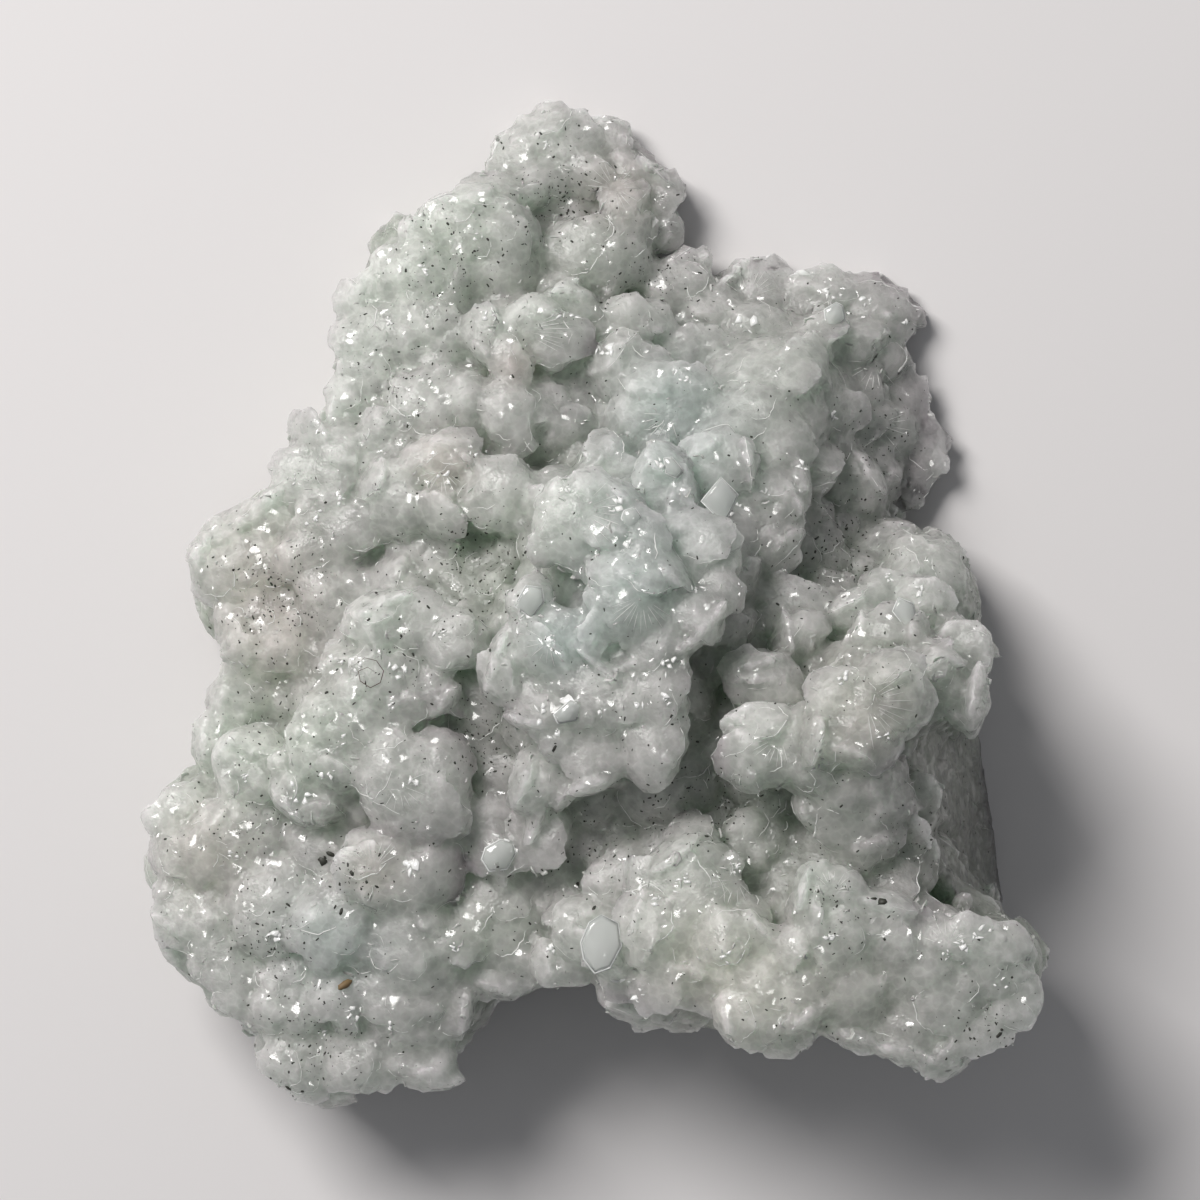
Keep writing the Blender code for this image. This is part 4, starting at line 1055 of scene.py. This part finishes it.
def dark_grains(tree):
    """Dark grains of grit on the crust, small uneven crystals half sunk into it."""
    rng = random.Random(GRAIN_SEED)
    spots = [(rng.uniform(-31, 32), rng.uniform(-35, 35), None) for _ in range(GRAIN_COUNT)]
    for x, y, radius, count in GRAIN_PATCHES:
        spread = radius * 0.6
        for _ in range(round(count * GRAIN_SHARE)):
            spots.append((rng.gauss(x, spread), rng.gauss(y, spread), None))
    spots += LARGE_GRAINS
    solids = Solids()
    unit, faces = solids.sphere(1)
    for x, y, radius in spots:
        spot = dropped(tree, x, y)
        if spot is None or spot[0][2] < 1.0:
            continue
        place, normal = spot
        size = radius or GRAIN_RADIUS[0] + (GRAIN_RADIUS[1] - GRAIN_RADIUS[0]) * rng.random() ** 2.5
        stretch = np.array((rng.uniform(0.8, 2.2), rng.uniform(0.6, 1.1), 0.5)) * size
        bumps = 1 + 0.25 * np.array([rng.uniform(-1, 1) for _ in unit])[:, None]
        shape = unit * bumps * stretch
        solids.add(shape @ facing(normal, rng.uniform(0, 360)).T + place, faces)
    return solids


# Colours of the crust, as linear red, green and blue
CROWN = np.array((0.442, 0.446, 0.424))
# Painted shade with a greener tone: the colour that hollows below the knob tops lean to
RECESS_TONE_AND_SHADE = np.array((0.300, 0.322, 0.282))
# Painted highlight: the paler colour that rims bending outwards lean to, for light through thin edges
RIM_HIGHLIGHT = np.array((0.70, 0.70, 0.67))
CRYSTAL_SHADES = 0.05
DEEP_BELOW = 1.4
DEEP_FADE = 3.6
CROWN_REACH = 4.5
RIM_BEND = (0.35, 1.5)
RIM_SHARE = 0.55

# Zones with a tint of their own, and zones of painted shade: x, y, radius, strength, and the tint they lean
# to
PINKISH = (1.05, 0.985, 0.975)
BLUISH = (0.95, 1.0, 1.01)
CREAMY = (1.10, 1.09, 1.05)
GREENISH = (0.95, 1.0, 0.94)
GREY = (0.84, 0.82, 0.83)
# Painted shade, not a colour of the stone's own
PAINTED_SHADE = (0.84, 0.85, 0.84)
ZONES = (
    (-23.5, 2.0, 4.5, 1.0, PINKISH),
    (-22.5, -3.0, 3.5, 0.8, PINKISH),
    (-27.5, -17.5, 3.5, 0.9, PINKISH),
    (-10.5, 10.0, 2.2, 1.2, PINKISH),
    (-5.5, 17.0, 1.6, 1.2, PINKISH),
    (1.8, 29.8, 2.6, 1.0, PINKISH),
    (-15.5, -18.9, 2.4, 1.0, PINKISH),
    (18.7, -7.3, 4.2, 0.8, PINKISH),
    (5.0, 8.5, 6.0, 1.0, BLUISH),
    (2.5, 1.0, 4.0, 1.0, BLUISH),
    (-2.0, -2.2, 2.8, 1.4, BLUISH),
    (6.0, 14.5, 4.0, 1.0, BLUISH),
    (-18.0, -23.5, 4.0, 1.0, BLUISH),
    (11.5, -27.0, 5.0, 1.0, CREAMY),
    (7.0, -24.5, 4.5, 0.8, CREAMY),
    (19.0, -27.5, 4.0, 0.5, CREAMY),
    (-9.5, 24.5, 6.0, 0.5, GREENISH),
    (-7.5, -22.5, 3.5, 1.0, GREENISH),
    (-8.0, 4.0, 4.0, 0.8, GREENISH),
    (-22.0, -9.0, 5.0, 0.8, GREENISH),
    (0.0, 23.0, 4.0, 0.6, GREENISH),
    (12.0, -16.0, 5.0, 0.7, GREENISH),
    (26.8, -15.5, 5.0, 1.4, GREY),
    # Painted shade: these zones darken the right ridge, the back and parts of the middle and the left
    (20.0, 14.0, 9.0, 1.1, PAINTED_SHADE),
    (19.0, -5.0, 7.0, 1.1, PAINTED_SHADE),
    (9.0, 18.0, 6.0, 0.6, PAINTED_SHADE),
    (12.0, -15.0, 5.0, 1.1, PAINTED_SHADE),
    (0.5, 29.0, 6.0, 0.7, PAINTED_SHADE),
    (-23.5, 0.5, 6.0, 0.5, PAINTED_SHADE),
    (2.0, 1.0, 6.0, 0.4, PAINTED_SHADE),
)


def crown_height(points):
    """A smooth height through the tops of the knobs nearby."""
    total = np.full(len(points), 1e-6)
    lift = total * FLOOR_Z
    for region in KNOBS.values():
        for x, y, top, along, across, _ in region:
            weight = nearness(points, x, y, CROWN_REACH) * along * across
            total += weight
            lift += weight * top
    return lift / total


def paint_crust(mesh):
    """Gives each point its colour, from its height over the bed, its bend and the zone it lies in: painted
    shade in the hollows, a painted highlight on the rims, tints, and zones of painted shade.
    """
    points, normals, edges = mesh_arrays(mesh)
    below = crown_height(points) - points[:, 2]
    # Painted shade: points that lie further below the knob tops nearby are made darker and greener
    deep = np.clip((below - DEEP_BELOW) / DEEP_FADE, 0, 1)[:, None]
    colour = CROWN * (1 - deep) + RECESS_TONE_AND_SHADE * deep

    start, end = edges.T
    step = points[start] - points[end]
    bend = np.einsum("ij,ij->i", normals[start] - normals[end], step)
    bend /= np.maximum(np.einsum("ij,ij->i", step, step), 1e-9)
    count = np.bincount(edges.ravel(), minlength=len(points))
    total = np.bincount(start, bend, len(points)) + np.bincount(end, bend, len(points))
    bend = total / np.maximum(count, 1)
    # Painted highlight: points where the surface bends outwards, at the rims, are made paler
    low, high = RIM_BEND
    rim = np.clip((bend - low) / (high - low), 0, 1)[:, None] * RIM_SHARE
    colour = colour * (1 - rim) + RIM_HIGHLIGHT * rim

    crystal = np.empty(len(points), dtype=np.float32)
    mesh.attributes["crystal"].data.foreach_get("value", crystal)
    colour *= 1 + CRYSTAL_SHADES * (crystal[:, None] - 0.5) * 2

    for x, y, radius, strength, tint in ZONES:
        share = nearness(points, x, y, radius) * strength
        colour *= 1 + share[:, None] * (np.array(tint) - 1)

    set_shade(mesh, np.clip(colour, 0, 1))


def set_shade(mesh, colour):
    """Puts one colour, or one for each point, where the crust's finish reads it."""
    shade = mesh.color_attributes.new("shade", "FLOAT_COLOR", "POINT")
    rgba = np.ones((len(mesh.vertices), 4), dtype=np.float32)
    rgba[:, :3] = colour
    shade.data.foreach_set("color", rgba.ravel())


# Finish of the crust
SCATTER_RADIUS = (1.0, 1.2, 1.05)
SCATTER_SCALE = 11.0
BLADE_SCATTER = 0.3
PREHNITE_IOR = 1.62
MOTTLE_PER_M = 620.0
MOTTLE_TONES = (0.86, 1.10)
CRYSTALS_PER_M = 1500.0
CRYSTAL_TONES = (0.93, 1.07)
# Painted highlight: each small crystal cell is paler towards its edge
EDGE_HIGHLIGHT_TONES = (1.0, 1.12)
FINE_PER_M = 3400.0
FINE_HEIGHT = 0.14
GLOSS_PER_M = 1300.0
FACET_LEAN = 1.15
ROUGHNESS = (0.36, 0.6)
COAT_MOST = 0.85
COAT_ROUGHNESS = 0.12
CLEARNESS = 0.55
GRIT_IOR = 1.5
UNEVEN_PER_M = 900.0
SHARP_ANGLE = 38


class Finish:
    """A material's nodes, where an input is given either its value or the socket that feeds it."""

    def __init__(self, name):
        self.material = bpy.data.materials.new(name)
        self.material.use_nodes = True
        self.tree = self.material.node_tree
        self.shader = self.tree.nodes["Principled BSDF"]

    def feed(self, node, inputs):
        for socket, value in inputs.items():
            if isinstance(value, bpy.types.NodeSocket):
                self.tree.links.new(value, node.inputs[socket])
            else:
                node.inputs[socket].default_value = value

    def node(self, kind, inputs=None, **settings):
        made = self.tree.nodes.new("ShaderNode" + kind)
        for name, value in settings.items():
            setattr(made, name, value)
        self.feed(made, inputs or {})
        return made

    def noise(self, place, scale, detail=2.0):
        return self.node("TexNoise", {"Vector": place, "Scale": scale, "Detail": detail}).outputs["Fac"]

    def vector(self, operation, inputs):
        return self.node("VectorMath", inputs, operation=operation).outputs["Vector"]

    def mapped(self, value, low, high, to_low, to_high):
        inputs = {"Value": value, "From Min": low, "From Max": high, "To Min": to_low, "To Max": to_high}
        return self.node("MapRange", inputs).outputs["Result"]

    def facet_normal(self, cell_colour):
        """The surface's own normal, tilted by another amount in each small cell, as crystal faces are."""
        normal = self.node("NewGeometry").outputs["Normal"]
        centred = self.vector("SUBTRACT", {0: cell_colour, 1: (0.5, 0.5, 0.5)})
        tilted = self.vector("MULTIPLY_ADD", {0: centred, 1: (FACET_LEAN,) * 3, 2: normal})
        return self.vector("NORMALIZE", {0: tilted})

    def scatter(self, scale):
        """Light that spreads inside the stone, over a distance in millimetres."""
        self.feed(self.shader, {
            "Subsurface Weight": 1.0,
            "Subsurface Radius": SCATTER_RADIUS,
            "Subsurface Scale": scale * MM,
        })


def crust_material(name, scatter):
    finish = Finish(name)
    shade = finish.node("Attribute", attribute_name="shade").outputs["Color"]
    place = finish.node("TexCoord").outputs["Object"]
    mottle = finish.noise(place, MOTTLE_PER_M, 3.0)
    crystals = finish.node("TexVoronoi", {"Vector": place, "Scale": CRYSTALS_PER_M})
    crystal_tone = finish.node("SeparateColor", {"Color": crystals.outputs["Color"]}).outputs["Red"]
    for tone in (
        finish.mapped(mottle, 0.3, 0.7, *MOTTLE_TONES),
        finish.mapped(crystal_tone, 0.0, 1.0, *CRYSTAL_TONES),
        # painted highlight towards each cell's edge
        finish.mapped(crystals.outputs["Distance"], 0.42, 0.62, *EDGE_HIGHLIGHT_TONES),
    ):
        shade = finish.vector("SCALE", {0: shade, "Scale": tone})
    fine = finish.noise(place, FINE_PER_M)
    bump = finish.node("Bump", {"Strength": 0.6, "Distance": FINE_HEIGHT * MM, "Height": fine})
    gloss = finish.noise(place, GLOSS_PER_M, 1.0)
    finish.feed(finish.shader, {
        "Base Color": shade,
        "Normal": bump.outputs["Normal"],
        "Roughness": finish.mapped(mottle, 0.35, 0.65, *ROUGHNESS),
        "Coat Weight": finish.mapped(gloss, 0.42, 0.58, 0.0, COAT_MOST),
        "Coat Roughness": COAT_ROUGHNESS,
        "Coat IOR": PREHNITE_IOR,
        "Coat Normal": finish.facet_normal(crystals.outputs["Color"]),
        "IOR": PREHNITE_IOR,
    })
    finish.scatter(scatter)
    return finish.material


def glass_material(name, colour):
    """Clear crystal, seen through by plain transmission."""
    finish = Finish(name)
    finish.feed(finish.shader, {
        "Base Color": (*colour, 1.0),
        "Transmission Weight": CLEARNESS,
        "Roughness": 0.10,
        "IOR": PREHNITE_IOR,
    })
    return finish.material


def plain_material(name, colour, roughness, ior=PREHNITE_IOR):
    """A finish with a little unevenness in its tone."""
    finish = Finish(name)
    noise = finish.noise(finish.node("TexCoord").outputs["Object"], UNEVEN_PER_M)
    ramp = finish.node("ValToRGB", {"Fac": noise})
    low = [channel * 0.8 for channel in colour]
    high = [min(channel * 1.15, 1.0) for channel in colour]
    ramp.color_ramp.elements[0].color = (*low, 1.0)
    ramp.color_ramp.elements[1].color = (*high, 1.0)
    finish.feed(finish.shader, {"Base Color": ramp.outputs["Color"], "Roughness": roughness, "IOR": ior})
    return finish.material


# Table, lights and camera
TABLE_COLOUR = (0.78, 0.755, 0.76, 1.0)
TABLE_ROUGHNESS = 0.6
TABLE_SIZE = 3.0
KEY_PLACE = (-326.0, 357.0, 492.0)
KEY_SIZE = 320.0
KEY_POWER = 5.0
KEY_COLOUR = (1.0, 0.985, 0.96)
FILL_COLOUR = (0.93, 0.96, 1.0, 1.0)
FILL_STRENGTH = 0.19
VIEW_CENTRE = (0.56, 0.07, 14.0)
VIEW_WIDTH = 84.6
LENS = 190.0
SENSOR = 36.0


def add_table():
    reach = TABLE_SIZE / 2
    points = [(-reach, -reach, 0.0), (reach, -reach, 0.0), (reach, reach, 0.0), (-reach, reach, 0.0)]
    mesh = bpy.data.meshes.new("table")
    mesh.from_pydata(points, [], [(0, 1, 2, 3)])
    table = bpy.data.objects.new("table", mesh)
    bpy.context.scene.collection.objects.link(table)
    finish = Finish("table_white")
    finish.feed(finish.shader, {"Base Color": TABLE_COLOUR, "Roughness": TABLE_ROUGHNESS})
    mesh.materials.append(finish.material)


def add_lights():
    light = bpy.data.lights.new("key", "AREA")
    light.shape = "SQUARE"
    light.size = KEY_SIZE * MM
    light.energy = KEY_POWER
    light.color = KEY_COLOUR
    key = bpy.data.objects.new("key", light)
    key.location = Vector(KEY_PLACE) * MM
    key.rotation_euler = (-Vector(KEY_PLACE)).to_track_quat("-Z", "Y").to_euler()
    bpy.context.scene.collection.objects.link(key)

    world = bpy.data.worlds.new("studio")
    bpy.context.scene.world = world
    world.use_nodes = True
    background = world.node_tree.nodes["Background"]
    background.inputs["Color"].default_value = FILL_COLOUR
    background.inputs["Strength"].default_value = FILL_STRENGTH


def add_camera():
    camera = bpy.data.cameras.new("camera")
    camera.lens = LENS
    camera.sensor_width = SENSOR
    camera.clip_end = 10.0
    eye = bpy.data.objects.new("camera", camera)
    x, y, z = VIEW_CENTRE
    eye.location = Vector((x, y, z + VIEW_WIDTH * LENS / SENSOR)) * MM
    bpy.context.scene.collection.objects.link(eye)
    bpy.context.scene.camera = eye


def add_piece(name, mesh, material):
    """A piece of the stone, which belongs to its one body."""
    piece = bpy.data.objects.new(name, mesh)
    bpy.context.scene.collection.objects.link(piece)
    piece.data.materials.append(material)
    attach(piece, "root")


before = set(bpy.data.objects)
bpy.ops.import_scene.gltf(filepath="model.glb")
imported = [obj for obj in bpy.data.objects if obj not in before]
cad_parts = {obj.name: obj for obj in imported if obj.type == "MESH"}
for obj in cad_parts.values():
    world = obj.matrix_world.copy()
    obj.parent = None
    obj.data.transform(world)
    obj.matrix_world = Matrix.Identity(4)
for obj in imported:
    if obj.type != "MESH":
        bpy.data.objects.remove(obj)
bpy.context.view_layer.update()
bpy.context.scene.view_settings.view_transform = "Standard"

add_camera()
add_lights()
add_table()

shells = all_shells()
crust = fine_crust(shells)
paint_crust(crust.data)
crust.data.materials.append(crust_material("prehnite", SCATTER_SCALE))
crust.data.polygons.foreach_set("use_smooth", np.ones(len(crust.data.polygons), dtype=bool))
crust.data.set_sharp_from_angle(angle=math.radians(SHARP_ANGLE))
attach(crust, "root")
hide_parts("prehnite_cluster")

tree = BVHTree.FromObject(crust, bpy.context.evaluated_depsgraph_get())
crust_points, crust_normals, _ = mesh_arrays(crust.data)
blades = small_blades(crust_points, crust_normals)
clear, edge_highlights = clear_crystals(tree)
pieces = {
    # Painted highlight: pale tubes along the scales' lifted rims
    "painted_rim_highlights": (painted_rim_highlights(shells, tree), plain_material("painted_rim_highlight", (0.80, 0.80, 0.78), 0.35)),
    "small_blades": (blades, crust_material("small_blade", BLADE_SCATTER)),
    # Bright flecks: real reflections of the key light, with a whitish colour that adds a painted highlight
    "bright_flecks": (bright_flecks(tree), plain_material("bright_fleck", (0.8, 0.8, 0.79), 0.12)),
    "dark_grains": (dark_grains(tree), plain_material("dark_grain", (0.035, 0.036, 0.028), 0.55, GRIT_IOR)),
    "lens_ribs": (lens_ribs(tree), plain_material("lens_rib", (0.72, 0.72, 0.70), 0.35)),
    "clear_crystals": (clear, glass_material("clear_crystal", (0.88, 0.90, 0.88))),
    # Painted highlight: pale tubes round the clear crystals' edges
    "clear_crystal_edge_highlights": (edge_highlights, plain_material("crystal_edge_highlight", (0.78, 0.79, 0.78), 0.2)),
    "lint_fibre": (lint_fibre(tree), plain_material("lint", (0.10, 0.055, 0.05), 0.7, GRIT_IOR)),
    "brown_grain": (brown_grain(tree), plain_material("brown_grain", (0.20, 0.13, 0.06), 0.6, GRIT_IOR)),
}
for name, (solids, finish) in pieces.items():
    add_piece(name, solids.mesh(name), finish)
set_shade(bpy.data.meshes["small_blades"], CROWN)
